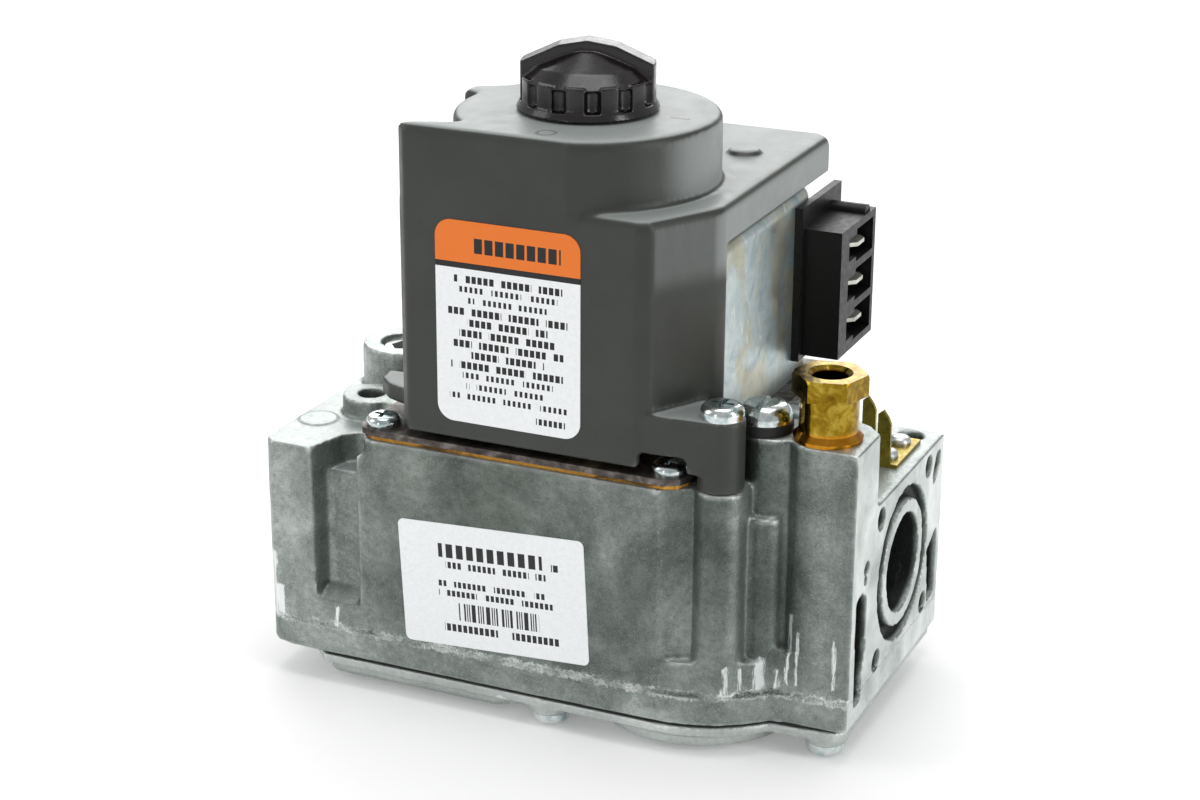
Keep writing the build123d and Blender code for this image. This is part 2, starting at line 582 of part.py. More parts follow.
def cover_outline(inset):
    g = inset
    return [(COVER_X0 + g, -36.9), (COVER_X0 + 2.0 + g * 0.4, FRONT + 0.6 + g), (-39.2, FRONT + 0.6 + g),
            (-36.6 - g * 0.5, -37.6 + g * 0.6), (-29.4 - g, -25.0), (COVER_X1 - g, -22.8),
            (COVER_X1 - g, COVER_BACK - 2.4), (COVER_X1 - 2.4, COVER_BACK - g),
            (COVER_X0 + 2.4, COVER_BACK - g), (COVER_X0 + g, COVER_BACK - 2.4)]


def horns(inset):
    """Two small wings that run out from the round cap to the left wall."""
    g = inset
    front = [(COVER_X0 + g, -36.7 - g * 0.2), (COVER_X0 + 2.0 + g * 0.4, FRONT + 0.6 + g),
             (KNOB_X, FRONT + 0.6 + g), (KNOB_X - 4, -22.0), (-78.5, -33.4 - g), (-80.0, -33.8 - g)]
    back = [(COVER_X0 + g, -10.6 + g), (-84.0, -12.0 + g), (-79.0, -13.0 + g), (KNOB_X - 8, -12.0),
            (-70.0, 3.0), (-76.5, -0.8 - g), (COVER_X0 + 3.0, -5.4 - g), (COVER_X0 + g, -7.0 - g)]
    return front, back


def operator_cover():
    lower = prism(cover_outline(0.0), COVER_Z0, LEDGE_Z)
    ridge = lower.faces().sort_by(Axis.Z)[-1].edges()
    lower = fillet(ridge, 1.9)
    cap = cyl(KNOB_X, KNOB_Y, LEDGE_Z - 4, CAP_Z, CAP_R)
    cap &= box(-120, 0, FRONT + 0.6, 60, 0, 120)
    for outline in horns(0.0):
        cap += prism(outline, LEDGE_Z - 4, CAP_Z)
    cap = fillet(cap.faces().sort_by(Axis.Z)[-1].edges(), 1.5)
    shape = lower + cap
    # raised pad on the ledge
    shape += cyl(-38.9, 12.6, LEDGE_Z - 1, LEDGE_Z + 1.1, 3.0)
    # hollow
    shape -= prism(cover_outline(COVER_T), COVER_Z0 - 1, LEDGE_Z - COVER_T)
    well = cyl(KNOB_X, KNOB_Y, LEDGE_Z - 6, CAP_Z - COVER_T, CAP_R - COVER_T)
    well &= box(-120, 0, FRONT + 0.6 + COVER_T, 60, 0, 120)
    shape -= well
    # knob spindle hole
    shape -= cyl(KNOB_X, KNOB_Y, CAP_Z - 5, CAP_Z + 2, SHAFT_R + RUN)
    # open right side, where the steel frame shows under the ledge
    shape -= box(FRAME_X1 - 0.4, 0, -21.6, 60, COVER_Z0 - 1, LEDGE_Z - 7.4)
    shape -= box(-60.0, -24.5 - 5, COVER_BACK - 3.2, 60, COVER_Z0 - 1, LEDGE_Z - 7.4)

    # front foot: wedge-shaped wing, boss on the casting's column, notch over the plate screw
    fx, fy = FOOTS[0]
    wing = prism([(-38.0, -38.3), (fx, fy - FOOT_R), (fx + 2.0, fy + 3.6), (-30.2, -27.0),
                  (-32.4, -28.0), (-38.0, -37.4)], COVER_Z0, FOOT_TOP)
    boss = cyl(fx, fy, DECK_Z, FOOT_TOP, FOOT_R)
    inner = prism([(-34.0, -35.8), (fx - FOOT_R + 0.4, fy - 2.6), (fx - FOOT_R + 0.6, fy + 2.2),
                   (-31.2, -31.0)], COVER_Z0 - 1, FOOT_TOP - 2.0)
    shape += (wing - inner) + boss
    shape -= box(-38.6, -29.6, -50, -31.0, COVER_Z0 - 1, COVER_Z0 + 2.9)
    # left tab over the plate screw, and the rear foot
    tab = prism([(COVER_X0 + 1, -33.0), (-93.6, -30.0), (-96.6, -27.0), (-97.0, -23.0),
                 (COVER_X0 + 1, -21.0)], TOP_Z + 2.9, TOP_Z + 6.2)
    shape += tab
    rx, ry = FOOTS[1]
    rear = cyl(rx, ry, TOP_Z, TOP_Z + 9.0, FOOT_R)
    rear += box(rx, COVER_X0 + 1.0, ry - FOOT_R, ry + FOOT_R, COVER_Z0, TOP_Z + 9.0)
    shape += rear
    for x, y in FOOTS:
        shape -= cyl(x, y, 10, FOOT_TOP + 3, SCREW_R + 0.3)
    return shape


def cover_screws():
    a = pan_screw(*FOOTS[0], FOOT_TOP, 22.0, SCREW_R, 4.0, 2.6, up=True, drive="cross")
    b = pan_screw(*FOOTS[1], TOP_Z + 9.0, 18.0, SCREW_R, 4.0, 2.6, up=True, drive="cross")
    return group([a, b])


PARTS["valve_body"] -= cyl(*FOOTS[0], FOOT_TOP - 22.2, DECK_Z + 1, SCREW_R)
PARTS["valve_body"] -= cyl(*FOOTS[1], TOP_Z + 9.0 - 18.2, DECK_Z + 1, SCREW_R)
for sheet in ("top_plate", "top_gasket"):
    PARTS[sheet] -= cyl(*FOOTS[1], DECK_Z - 1, TOP_Z + 1, SCREW_R + 0.3)

add("operator_cover", operator_cover())
add("cover_screws", cover_screws())

# ================================================================ electrical connector
CON_X0, CON_X1 = FRAME_X1 + 0.0, -21.6
CON_Y0, CON_Y1 = 21.0, 41.5
CON_Z0, CON_Z1 = 30.6, 56.4
CON_WALL = 1.5
BLADES_Z = [51.0, 43.2, 35.4]
BLADE_Y = 34.6


def connector_housing():
    block = box(CON_X0, CON_X1, CON_Y0, CON_Y1, CON_Z0, CON_Z1)
    block += box(CON_X0, CON_X0 + 1.6, CON_Y0 - 1.5, CON_Y1 + 0.6, CON_Z0 - 1.0, CON_Z1 + 4.4)
    block += cylx(CON_X0, CON_X1 - 0.5, CON_Y1 - 4.0, CON_Z1 - 0.2, 1.7)
    slot = (CON_Z1 - CON_Z0 - 4 * CON_WALL) / 3
    for i in range(3):
        z0 = CON_Z0 + CON_WALL + i * (slot + CON_WALL)
        block -= box(CON_X0 + 2.4, CON_X1 + 1, CON_Y0 + 9.0, CON_Y1 - CON_WALL, z0, z0 + slot)
        block -= box(CON_X1 - 1.6, CON_X1 + 1, CON_Y0 + 4.6, CON_Y0 + 9.5, z0 + 1.0, z0 + slot - 1.0)
    for z in BLADES_Z:
        block -= box(CON_X0 - 1, CON_X0 + 4, BLADE_Y - 3.2, BLADE_Y + 3.2, z - 0.4, z + 0.4)
    return block


def connector_blades():
    out = []
    for z in BLADES_Z:
        blade = box(CON_X0 - 0.0, CON_X1 - 0.6, BLADE_Y - 3.2, BLADE_Y + 3.2, z - 0.4, z + 0.4)
        tip = blade.edges().filter_by(Axis.Z).sort_by(Axis.X)[-2:]
        out.append(chamfer(tip, 1.3))
    return group(out)


add("connector_housing", connector_housing())
add("connector_blades", connector_blades())

# ================================================================ regulator
REG_TOP = 34.0
REG_SEAT = 19.8
REG_STEM = 1.6


def regulator_cap():
    """Cap screw with a domed, slotted head that closes the adjusting well."""
    shape = cyl(REG_X, REG_Y, 29.5, REG_TOP + 0.05, 4.14)
    head = cyl(REG_X, REG_Y, REG_TOP, REG_TOP + 3.4, 5.0)
    rim = head.edges().filter_by(GeomType.CIRCLE).sort_by(Axis.Z)[-1]
    head = fillet([rim], 2.6)
    head -= box(REG_X - 0.6, REG_X + 0.6, REG_Y - 9, REG_Y + 9, REG_TOP + 1.9, REG_TOP + 5)
    return shape + head


def regulator_screw():
    """Captive adjuster: turns in the well and drives the follower up and down."""
    shape = tube(REG_X, REG_Y, 24.5, 29.0, 4.2 - RUN, REG_STEM + RUN)
    return shape - box(REG_X - 0.6, REG_X + 0.6, REG_Y - 9, REG_Y + 9, 27.8, 30)


def regulator_follower():
    shape = cyl(REG_X, REG_Y, REG_SEAT, REG_SEAT + 1.2, 3.8)
    return shape + cyl(REG_X, REG_Y, REG_SEAT, REG_SEAT + 7.6, REG_STEM)


add("regulator_cap", regulator_cap())
add("regulator_cap_seal", tube(REG_X, REG_Y, COLUMN_Z, REG_TOP, 5.3, 4.2))
add("regulator_screw", regulator_screw())
add("regulator_follower", regulator_follower())
add("regulator_spring", helix_coil(REG_X, REG_Y, 12.05, REG_SEAT - 0.05, 3.1, 4, 0.35))
add("regulator_poppet", cyl(REG_X, REG_Y, 10.0, 12.0, 3.9) + cyl(REG_X, REG_Y, 11.5, 13.4, 1.6))

# ================================================================ pilot outlet
NUT_AF = 12.0             # across the flats
NUT_SHANK_R = 5.4
NUT_HEX_Z0, NUT_HEX_Z1 = 8.4, 12.4   # hexagon, above the top of the column
PILOT_BORE = 3.25         # quarter-inch tube with clearance


def pilot_nut():
    z0 = COLUMN_Z
    shape = cyl(PILOT_X, PILOT_Y, z0 - 6.0, z0 + 0.2, 5.04)
    shape += cyl(PILOT_X, PILOT_Y, z0, z0 + 0.7, NUT_SHANK_R + 0.95)
    shape += cone(PILOT_X, PILOT_Y, z0 + 0.7, z0 + 1.7, NUT_SHANK_R + 0.95, NUT_SHANK_R)
    shape += cyl(PILOT_X, PILOT_Y, z0 + 1.6, z0 + NUT_HEX_Z0 + 0.1, NUT_SHANK_R)
    head = hexagon(PILOT_X, PILOT_Y, z0 + NUT_HEX_Z0, z0 + NUT_HEX_Z1, NUT_AF, 14.2)
    head &= cone(PILOT_X, PILOT_Y, z0 + NUT_HEX_Z0 - 1, z0 + NUT_HEX_Z1 + 1.0, NUT_AF * 0.82,
                 NUT_AF * 0.49)
    shape += head
    shape -= cyl(PILOT_X, PILOT_Y, z0 - 7, z0 + 20, PILOT_BORE)
    shape -= cone(PILOT_X, PILOT_Y, z0 + NUT_HEX_Z1 - 0.8, z0 + NUT_HEX_Z1 + 0.2, PILOT_BORE,
                  PILOT_BORE + 1.0)
    return shape


def pilot_ferrule():
    z0 = COLUMN_Z - 9.0
    shape = cone(PILOT_X, PILOT_Y, z0 + 0.02, z0 + 2.9, 5.0, 3.9)
    return shape - cyl(PILOT_X, PILOT_Y, z0 - 1, z0 + 4, PILOT_BORE)


def trim_screw():
    z1 = TRIM_TOP - 6.0
    shape = cyl(TRIM_X, TRIM_Y, z1 - 9.0, z1, 2.6 - RUN)
    shape -= box(TRIM_X - 0.4, TRIM_X + 0.4, TRIM_Y - 3, TRIM_Y + 3, z1 - 1.0, z1 + 1)
    return shape + cone(TRIM_X, TRIM_Y, z1 - 12.6, z1 - 8.95, 0.5, 2.0)


def trim_cap():
    shank = cyl(TRIM_X, TRIM_Y, TRIM_TOP - 5.0, TRIM_TOP + 0.05, 2.56)
    head = cyl(TRIM_X, TRIM_Y, TRIM_TOP, TRIM_TOP + 2.4, 4.1)
    rim = head.edges().filter_by(GeomType.CIRCLE).sort_by(Axis.Z)[-1]
    head = fillet([rim], 1.6)
    head -= box(TRIM_X - 5, TRIM_X + 5, TRIM_Y - 0.5, TRIM_Y + 0.5, TRIM_TOP + 1.3, TRIM_TOP + 3)
    return shank + head


add("pilot_nut", pilot_nut())
add("pilot_ferrule", pilot_ferrule())
add("trim_screw", trim_screw())
add("trim_cap", trim_cap())

# ================================================================ ground terminal
TERM_X = -7.2
RIVET_DEEP = 1.1          # the rivets stop short of the flange screw hole below them


def ground_terminal():
    z = OUTLET_Z
    shape = box(TERM_X - 3.2, TERM_X + 4.6, 1.6, 16.4, z, z + 0.8)
    for x0, x1, top in ((TERM_X - 2.6, TERM_X, z + 13.6), (TERM_X + 0.5, TERM_X + 3.1, z + 11.3)):
        shape += prism_y([(x0, z), (x1, z), (x1, top - 2.7), (x1 - 0.5, top - 1.5),
                          (x0 + 1.0, top), (x0, top - 0.8)], 1.6, 2.4)
    shape -= prism([(TERM_X - 4, 12.0), (TERM_X - 0.4, 17.0), (TERM_X - 4, 17.0)], z - 1, z + 2)
    for y in (5.6, 13.4):
        shape -= cyl(TERM_X + 1.4, y, z - 1, z + 2, 1.25)
    return shape


def terminal_rivets():
    out = []
    for y in (5.6, 13.4):
        z = OUTLET_Z
        shank = cyl(TERM_X + 1.4, y, z - RIVET_DEEP, z + 0.8, 1.2)
        head = cyl(TERM_X + 1.4, y, z + 0.8, z + 2.1, 2.1)
        rim = head.edges().filter_by(GeomType.CIRCLE).sort_by(Axis.Z)[-1]
        out.append(shank + fillet([rim], 1.0))
        PARTS["valve_body"] -= cyl(TERM_X + 1.4, y, z - RIVET_DEEP - 0.1, z + 1, 1.2)
    return group(out)


add("ground_terminal", ground_terminal())
add("terminal_rivets", terminal_rivets())


# ================================================================ inlet side
def tap_plug():
    x, y, z = -106.8, 1.0, INLET_Z + 8.8
    shape = cyl(x, y, z - 8.5, z - 1.0, 4.55)
    rim = shape.edges().filter_by(GeomType.CIRCLE).sort_by(Axis.Z)[-1]
    shape = chamfer([rim], 0.6)
    return shape - hexagon(x, y, z - 5.0, z + 1, 4.8, 10.0)


def inlet_screen():
    x1 = SCREEN_X + 1.1
    shape = cylx(SCREEN_X, x1, 0, 0, PORT_R + 0.88)
    pitch = 3.0
    for i in range(-2, 3):
        for j in range(-2, 3):
            if i * i + j * j < 8:
                shape -= cylx(x1 - 3, x1 + 1, i * pitch, j * pitch, 1.1)
    return shape


add("tap_plug", tap_plug())
add("inlet_screen", inlet_screen())

# ================================================================ labels
LABEL_T = 0.15


def label(x0, x1, z0, z1, y, r, turn=0.0):
    plate = box(x0, x1, y - LABEL_T, y, z0, z1)
    plate = fillet(plate.edges().filter_by(Axis.Y), r)
    cx, cz = (x0 + x1) / 2, (z0 + z1) / 2
    return Pos(cx, 0, cz) * Rot(0, -turn, 0) * Pos(-cx, 0, -cz) * plate


add("notice_label", label(-78.3, -49.6, 30.2, 68.6, FRONT + 0.6, 3.2))
add("rating_label", label(-86.4, -48.0, -15.0, 9.9, FRONT, 1.2, 3.0))

# ================================================================ write the pieces
for name, shape in PARTS.items():
    export_step(shape, "parts/" + name + ".step")
    print(name, len(shape.solids()), [round(s.volume, 1) for s in shape.solids()][:6])
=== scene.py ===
"""Gas valve: looks, stage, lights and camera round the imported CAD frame. Metres, +Z up."""
import math

import bpy
from mathutils import Matrix, Vector, noise


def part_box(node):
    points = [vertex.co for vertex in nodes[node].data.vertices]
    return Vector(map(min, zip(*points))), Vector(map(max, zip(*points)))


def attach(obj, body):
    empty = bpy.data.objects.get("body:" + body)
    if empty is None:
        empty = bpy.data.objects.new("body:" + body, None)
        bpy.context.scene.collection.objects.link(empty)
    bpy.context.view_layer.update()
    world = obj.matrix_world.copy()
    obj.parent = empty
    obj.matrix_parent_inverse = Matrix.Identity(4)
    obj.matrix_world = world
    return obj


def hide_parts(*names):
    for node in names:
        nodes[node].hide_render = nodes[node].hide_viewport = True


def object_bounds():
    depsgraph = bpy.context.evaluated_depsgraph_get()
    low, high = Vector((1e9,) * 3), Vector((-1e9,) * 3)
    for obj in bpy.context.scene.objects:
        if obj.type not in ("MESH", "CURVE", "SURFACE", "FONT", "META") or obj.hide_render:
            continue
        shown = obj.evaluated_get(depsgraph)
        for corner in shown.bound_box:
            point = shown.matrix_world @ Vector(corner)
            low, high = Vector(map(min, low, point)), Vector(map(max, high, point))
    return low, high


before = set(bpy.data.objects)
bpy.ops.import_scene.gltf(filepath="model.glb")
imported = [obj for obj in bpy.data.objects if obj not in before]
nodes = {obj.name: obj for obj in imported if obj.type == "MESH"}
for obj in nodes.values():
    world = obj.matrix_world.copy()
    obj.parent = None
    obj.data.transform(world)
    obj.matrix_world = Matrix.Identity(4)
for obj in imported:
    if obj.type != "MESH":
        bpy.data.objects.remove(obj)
CAD_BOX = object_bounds()
MM = 0.001


# ---------------------------------------------------------------- camera first
CAMERA_PLACE = Vector((129.0, -429.8, 197.8))     # millimetres
CAMERA_LENS = 76.9                                # millimetres, on a 36 mm sensor
AZIMUTH, ELEVATION, ROLL = 24.08, 20.38, 0.27     # degrees round from the front, up, and tilted


def make_camera():
    azimuth, elevation, roll = (math.radians(v) for v in (AZIMUTH, ELEVATION, ROLL))
    back = Vector((math.sin(azimuth) * math.cos(elevation), -math.cos(azimuth) * math.cos(elevation),
                   math.sin(elevation)))
    level = Vector((math.cos(azimuth), math.sin(azimuth), 0))
    right = level * math.cos(roll) + back.cross(level) * math.sin(roll)
    up = back.cross(right)
    data = bpy.data.cameras.new("camera")
    data.lens = CAMERA_LENS
    data.sensor_width = 36.0
    data.clip_start = 0.01
    data.clip_end = 20.0
    cam = bpy.data.objects.new("camera", data)
    bpy.context.scene.collection.objects.link(cam)
    place = Matrix((right, up, back)).transposed().to_4x4()
    place.translation = CAMERA_PLACE * MM
    cam.matrix_world = place
    bpy.context.scene.camera = cam


make_camera()
scene = bpy.context.scene
scene.view_settings.view_transform = "Standard"


# ---------------------------------------------------------------- stage and light
FLOOR_HALF = 4.0          # metres from the middle of the floor to its edge
FLOOR_GAP = 0.0003        # between the lowest screw head and the floor
FLOOR_WHITE = (0.86, 0.86, 0.86, 1)
FLOOR_GLOW = 0.16         # keeps the floor near white where the valve shades it
WORLD_STRENGTH = 0.50


def make_floor():
    z = CAD_BOX[0].z - FLOOR_GAP
    r = FLOOR_HALF
    mesh = bpy.data.meshes.new("floor")
    mesh.from_pydata([(-r, -r, z), (r, -r, z), (r, r, z), (-r, r, z)], [], [(0, 1, 2, 3)])
    floor = bpy.data.objects.new("floor", mesh)
    scene.collection.objects.link(floor)
    paint = bpy.data.materials.new("floor")
    paint.use_nodes = True
    shader = paint.node_tree.nodes["Principled BSDF"]
    shader.inputs["Base Color"].default_value = FLOOR_WHITE
    shader.inputs["Roughness"].default_value = 0.9
    shader.inputs["Emission Color"].default_value = (1, 1, 1, 1)
    shader.inputs["Emission Strength"].default_value = FLOOR_GLOW
    mesh.materials.append(paint)


def make_world():
    world = bpy.data.worlds.new("world")
    world.use_nodes = True
    background = world.node_tree.nodes["Background"]
    background.inputs["Color"].default_value = (1.0, 1.0, 1.0, 1)
    background.inputs["Strength"].default_value = WORLD_STRENGTH
    scene.world = world


def area(name, place, size, power):
    """A rectangular lamp that faces the middle of the valve and can't be seen itself."""
    data = bpy.data.lights.new(name, "AREA")
    data.shape = "RECTANGLE"
    data.size, data.size_y = size
    data.energy = power
    lamp = bpy.data.objects.new(name, data)
    scene.collection.objects.link(lamp)
    lamp.visible_camera = False
    lamp.location = place
    lamp.rotation_mode = "QUATERNION"
    lamp.rotation_quaternion = (LIT_POINT - Vector(place)).to_track_quat("-Z", "Y")


LIT_POINT = Vector((-0.05, 0.0, 0.02))
make_floor()
make_world()
area("back_box", (-0.40, 0.78, 0.46), (1.1, 0.5), 4.7)
area("top_box", (-0.05, 0.02, 0.70), (0.5, 0.4), 2.0)
area("left_box", (-0.75, -0.35, 0.42), (0.35, 0.5), 1.1)
area("right_strip", (0.62, -0.10, 0.22), (0.10, 0.6), 1.5)
area("front_strip", (-0.22, -0.80, 0.16), (0.07, 0.5), 0.55)


# ---------------------------------------------------------------- node helpers
def linked(v):
    """Whether v is a node's output, and not a plain value."""
    return hasattr(v, "is_output")


class Mat:
    """A Principled material with small helpers for its node tree."""

    def __init__(self, name, base, rough, metal=0.0, spec=0.5, coat=0.0):
        self.material = bpy.data.materials.new(name)
        self.material.use_nodes = True
        self.tree = self.material.node_tree
        self.shader = self.tree.nodes["Principled BSDF"]
        self.put("Base Color", base)
        self.put("Roughness", rough)
        self.put("Metallic", metal)
        self.put("Specular IOR Level", spec)
        self.put("Coat Weight", coat)
        self.normal = None

    def put(self, name, v):
        """Links or sets one socket of the shader."""
        socket = self.shader.inputs[name]
        if linked(v):
            self.link(v, socket)
        elif isinstance(v, (tuple, list)):
            socket.default_value = (*v, 1)
        else:
            socket.default_value = v

    def node(self, kind, **settings):
        n = self.tree.nodes.new(kind)
        for k, v in settings.items():
            setattr(n, k, v)
        return n

    def link(self, output, socket):
        self.tree.links.new(output, socket)

    def coords(self, scale):
        """Object position in millimetres times scale; scale may be a triple."""
        place = self.node("ShaderNodeTexCoord")
        n = self.node("ShaderNodeMapping")
        triple = scale if isinstance(scale, tuple) else (scale,) * 3
        n.inputs["Scale"].default_value = tuple(s / MM for s in triple)
        self.link(place.outputs["Object"], n.inputs["Vector"])
        return n.outputs["Vector"]

    def noise(self, scale, detail, rough, distort, seed):
        """Fractal noise with scale features to the millimetre."""
        n = self.node("ShaderNodeTexNoise", noise_dimensions="4D")
        n.inputs["Scale"].default_value = 1.0
        n.inputs["Detail"].default_value = detail
        n.inputs["Roughness"].default_value = rough
        n.inputs["Distortion"].default_value = distort
        n.inputs["W"].default_value = seed
        self.link(self.coords(scale), n.inputs["Vector"])
        return n.outputs["Fac"]

    def cells(self, scale):
        n = self.node("ShaderNodeTexVoronoi")
        n.inputs["Scale"].default_value = 1.0
        self.link(self.coords(scale), n.inputs["Vector"])
        return n.outputs["Distance"]

    def span(self, v, lo, hi, a=0.0, b=1.0, smooth=False):
        """v from lo to hi becomes a to b, and stays there outside."""
        n = self.node("ShaderNodeMapRange")
        if smooth:
            n.interpolation_type = "SMOOTHSTEP"
        self.link(v, n.inputs["Value"])
        for key, val in (("From Min", lo), ("From Max", hi), ("To Min", a), ("To Max", b)):
            n.inputs[key].default_value = val
        return n.outputs["Result"]

    def calc(self, op, a, b=0.0):
        n = self.node("ShaderNodeMath", operation=op)
        for socket, v in zip(n.inputs, (a, b)):
            if linked(v):
                self.link(v, socket)
            else:
                socket.default_value = v
        return n.outputs[0]

    def times(self, first, *others):
        for v in others:
            first = self.calc("MULTIPLY", first, v)
        return first

    def mix(self, share, a, b, blend="MIX"):
        """Colour a with a share of colour b over it."""
        n = self.node("ShaderNodeMix", data_type="RGBA", blend_type=blend)
        colours = [s for s in n.inputs if s.type == "RGBA"]
        if linked(share):
            self.link(share, n.inputs[0])
        else:
            n.inputs[0].default_value = share
        for socket, v in zip(colours, (a, b)):
            if linked(v):
                self.link(v, socket)
            else:
                socket.default_value = (*v, 1)
        return [s for s in n.outputs if s.type == "RGBA"][0]

    def ramp(self, v, stops):
        """Colour by v, from a list of (value, colour)."""
        n = self.node("ShaderNodeValToRGB")
        elements = n.color_ramp.elements
        while len(elements) > 1:
            elements.remove(elements[-1])
        elements[0].position = stops[0][0]
        elements[0].color = (*stops[0][1], 1)
        for position, colour in stops[1:]:
            elements.new(position).color = (*colour, 1)
        self.link(v, n.inputs["Fac"])
        return n.outputs["Color"]

    def bump(self, height, distance, strength):
        """Adds a relief of distance millimetres over the ones before it."""
        n = self.node("ShaderNodeBump")
        n.inputs["Distance"].default_value = distance * MM
        n.inputs["Strength"].default_value = strength
        self.link(height, n.inputs["Height"])
        if self.normal is not None:
            self.link(self.normal, n.inputs["Normal"])
        self.normal = n.outputs["Normal"]
        self.link(self.normal, self.shader.inputs["Normal"])

    def axis(self, which):
        """Object position along an axis, in millimetres."""
        n = self.node("ShaderNodeSeparateXYZ")
        self.link(self.coords(1.0), n.inputs[0])
        return n.outputs[which]

    def radius(self, x, y):
        """Distance from an upright axis, in millimetres."""
        dx = self.calc("SUBTRACT", self.axis("X"), x)
        dy = self.calc("SUBTRACT", self.axis("Y"), y)
        return self.calc("SQRT", self.calc("ADD", self.times(dx, dx), self.times(dy, dy)))

    def zone(self, soft, wobble=None, **ranges):
        """1 inside the given ranges of X, Y and Z (millimetres), fading out over soft."""
        mask = None
        for which, (lo, hi) in ranges.items():
            v = self.axis(which)
            if wobble is not None:
                v = self.calc("ADD", v, wobble)
            part = self.times(self.span(v, lo - soft, lo + soft, 0.0, 1.0, True),
                              self.span(v, hi - soft, hi + soft, 1.0, 0.0, True))
            mask = part if mask is None else self.times(mask, part)
        return mask

    def face(self, which):
        """The surface normal's component along an axis."""
        geometry = self.node("ShaderNodeNewGeometry")
        n = self.node("ShaderNodeSeparateXYZ")
        self.link(geometry.outputs["Normal"], n.inputs[0])
        return n.outputs[which]

    def pointy(self):
        """Above 0.5 on edges that stand out and below it in corners."""
        return self.node("ShaderNodeNewGeometry").outputs["Pointiness"]


def srgb(r, g, b):
    def one(v):
        v /= 255
        return v / 12.92 if v <= 0.04045 else ((v + 0.055) / 1.055) ** 2.4
    return (one(r), one(g), one(b))


def middle(node):
    """The middle of a CAD node's box, across and up, in millimetres."""
    lo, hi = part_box(node)
    mid = (lo + hi) / 2 / MM
    return mid.x, mid.z


# ---------------------------------------------------------------- places, in millimetres
TONE_FROM_X = -117.0                 # just beyond the inlet face; the outlet face is at 0
BELT_TOP = -16.4                     # upper edge of the belt round the casting's foot
PAD = (-112.0, -25.2)                # axis of the round cast pad on the inlet block
PAD_GROOVE_R = 3.8
PILOT_NUT = (-8.0, -23.2)            # axis of the pilot nut
PILOT_BORE_R = 3.4
COLLAR_Z = (31.0, 34.4)              # turned collar at the foot of the pilot nut
CLOSED_MARK = (-58.4, -34.4)         # raised ring beside the knob, for its closed position
CLOSED_MARK_R = 1.7
OPEN_MARK = {"X": (-42.8, -39.2), "Y": (-15.2, -14.5)}    # raised bar, for its open position

# hollows behind the outlet face, painted dark as shade: the cored pockets with the seal groove, and the
# bore
POCKETS = {"X": (-6.2, 2.0), "Y": (-29.2, 23.4), "Z": (-19.5, 16.4)}
BORE = {"X": (-19.0, 2.0), "Y": (-10.2, 10.2), "Z": (-10.2, 10.2)}

# ragged upright highlights painted on the casting's front walls: x0, x1, z0, z1
HIGHLIGHT_STREAKS = [(-116.8, -114.2, -17.0, -3.0), (-114.6, -112.6, -17.0, -10.0),
          (-101.2, -100.5, -16.4, -12.4), (-21.9, -21.2, -15.6, -10.4),
          (-19.9, -19.2, -15.6, -11.2), (-17.4, -16.0, -15.6, -9.8),
          (-14.2, -13.6, -15.6, -12.0), (-12.2, -11.5, -14.6, -1.0),
          (-10.4, -10.0, -14.6, -4.0), (-3.2, -2.8, -14.0, -4.0)]

# painted light and shade on the front wall along its length: 0 is at TONE_FROM_X and 1 at the outlet face
FRONT_LIGHT_AND_SHADE = [(0.0, (1, 1, 1)), (0.17, (0.92, 0.92, 0.92)), (0.24, (0.56, 0.56, 0.55)),
              (0.45, (0.44, 0.45, 0.43)), (0.60, (0.62, 0.63, 0.62)), (0.70, (0.66, 0.67, 0.66)),
              (0.77, (0.48, 0.50, 0.49)), (0.85, (0.40, 0.42, 0.41)), (0.90, (0.56, 0.58, 0.57)),
              (0.955, (0.95, 0.96, 0.95)), (1.0, (0.62, 0.63, 0.62))]


# ---------------------------------------------------------------- cast metal
def cast_texture(m):
    """Broad clouds, fine mottling and grain that every part of the cast look shares."""
    return (m.noise(0.055, 4.0, 0.62, 0.6, 1.0), m.noise(0.9, 3.0, 0.7, 0.0, 2.0),
            m.noise(3.2, 2.0, 0.6, 0.0, 3.0))


def cast_colour(m, cloud, fine, grain):
    """Grey of the raw casting, before the painted light and shade and the marks laid over it."""
    base = m.ramp(cloud, [(0.32, srgb(104, 112, 107)), (0.45, srgb(134, 142, 137)),
                          (0.56, srgb(156, 164, 159)), (0.70, srgb(194, 200, 196))])
    base = m.mix(m.span(fine, 0.40, 0.7, 0.0, 0.36), base, srgb(84, 92, 88))
    base = m.mix(m.span(grain, 0.56, 0.74, 0.0, 0.40), base, srgb(214, 219, 216))
    return m.mix(m.span(grain, 0.44, 0.30, 0.0, 0.35), base, srgb(66, 72, 69))


def light_and_shade_front(m, base, front):
    """Painted light and shade along the front wall's length: darker in places, with a painted highlight
    near the outlet, and weaker near the foot.
    """
    along = m.ramp(m.span(m.axis("X"), TONE_FROM_X, 0.0), FRONT_LIGHT_AND_SHADE)
    shaded = m.mix(1.0, base, along, "MULTIPLY")
    low = m.span(m.axis("Z"), -18.0, -10.0, 0.25, 1.0, True)
    return m.mix(m.times(front, low), base, shaded)


def highlight_streaks(m, base, front):
    """Ragged upright streaks painted near white on the front walls, as highlights."""
    for x0, x1, z0, z1 in HIGHLIGHT_STREAKS:
        wisp = m.noise((1.6, 1.6, 0.25), 3.0, 0.7, 0.2, x0)
        ragged = m.times(m.calc("SUBTRACT", wisp, 0.5), 2.4)
        mark = m.times(m.zone(0.25, ragged, X=(x0, x1), Z=(z0, z1)), front)
        base = m.mix(m.times(mark, 0.9), base, srgb(238, 242, 241))
    return base


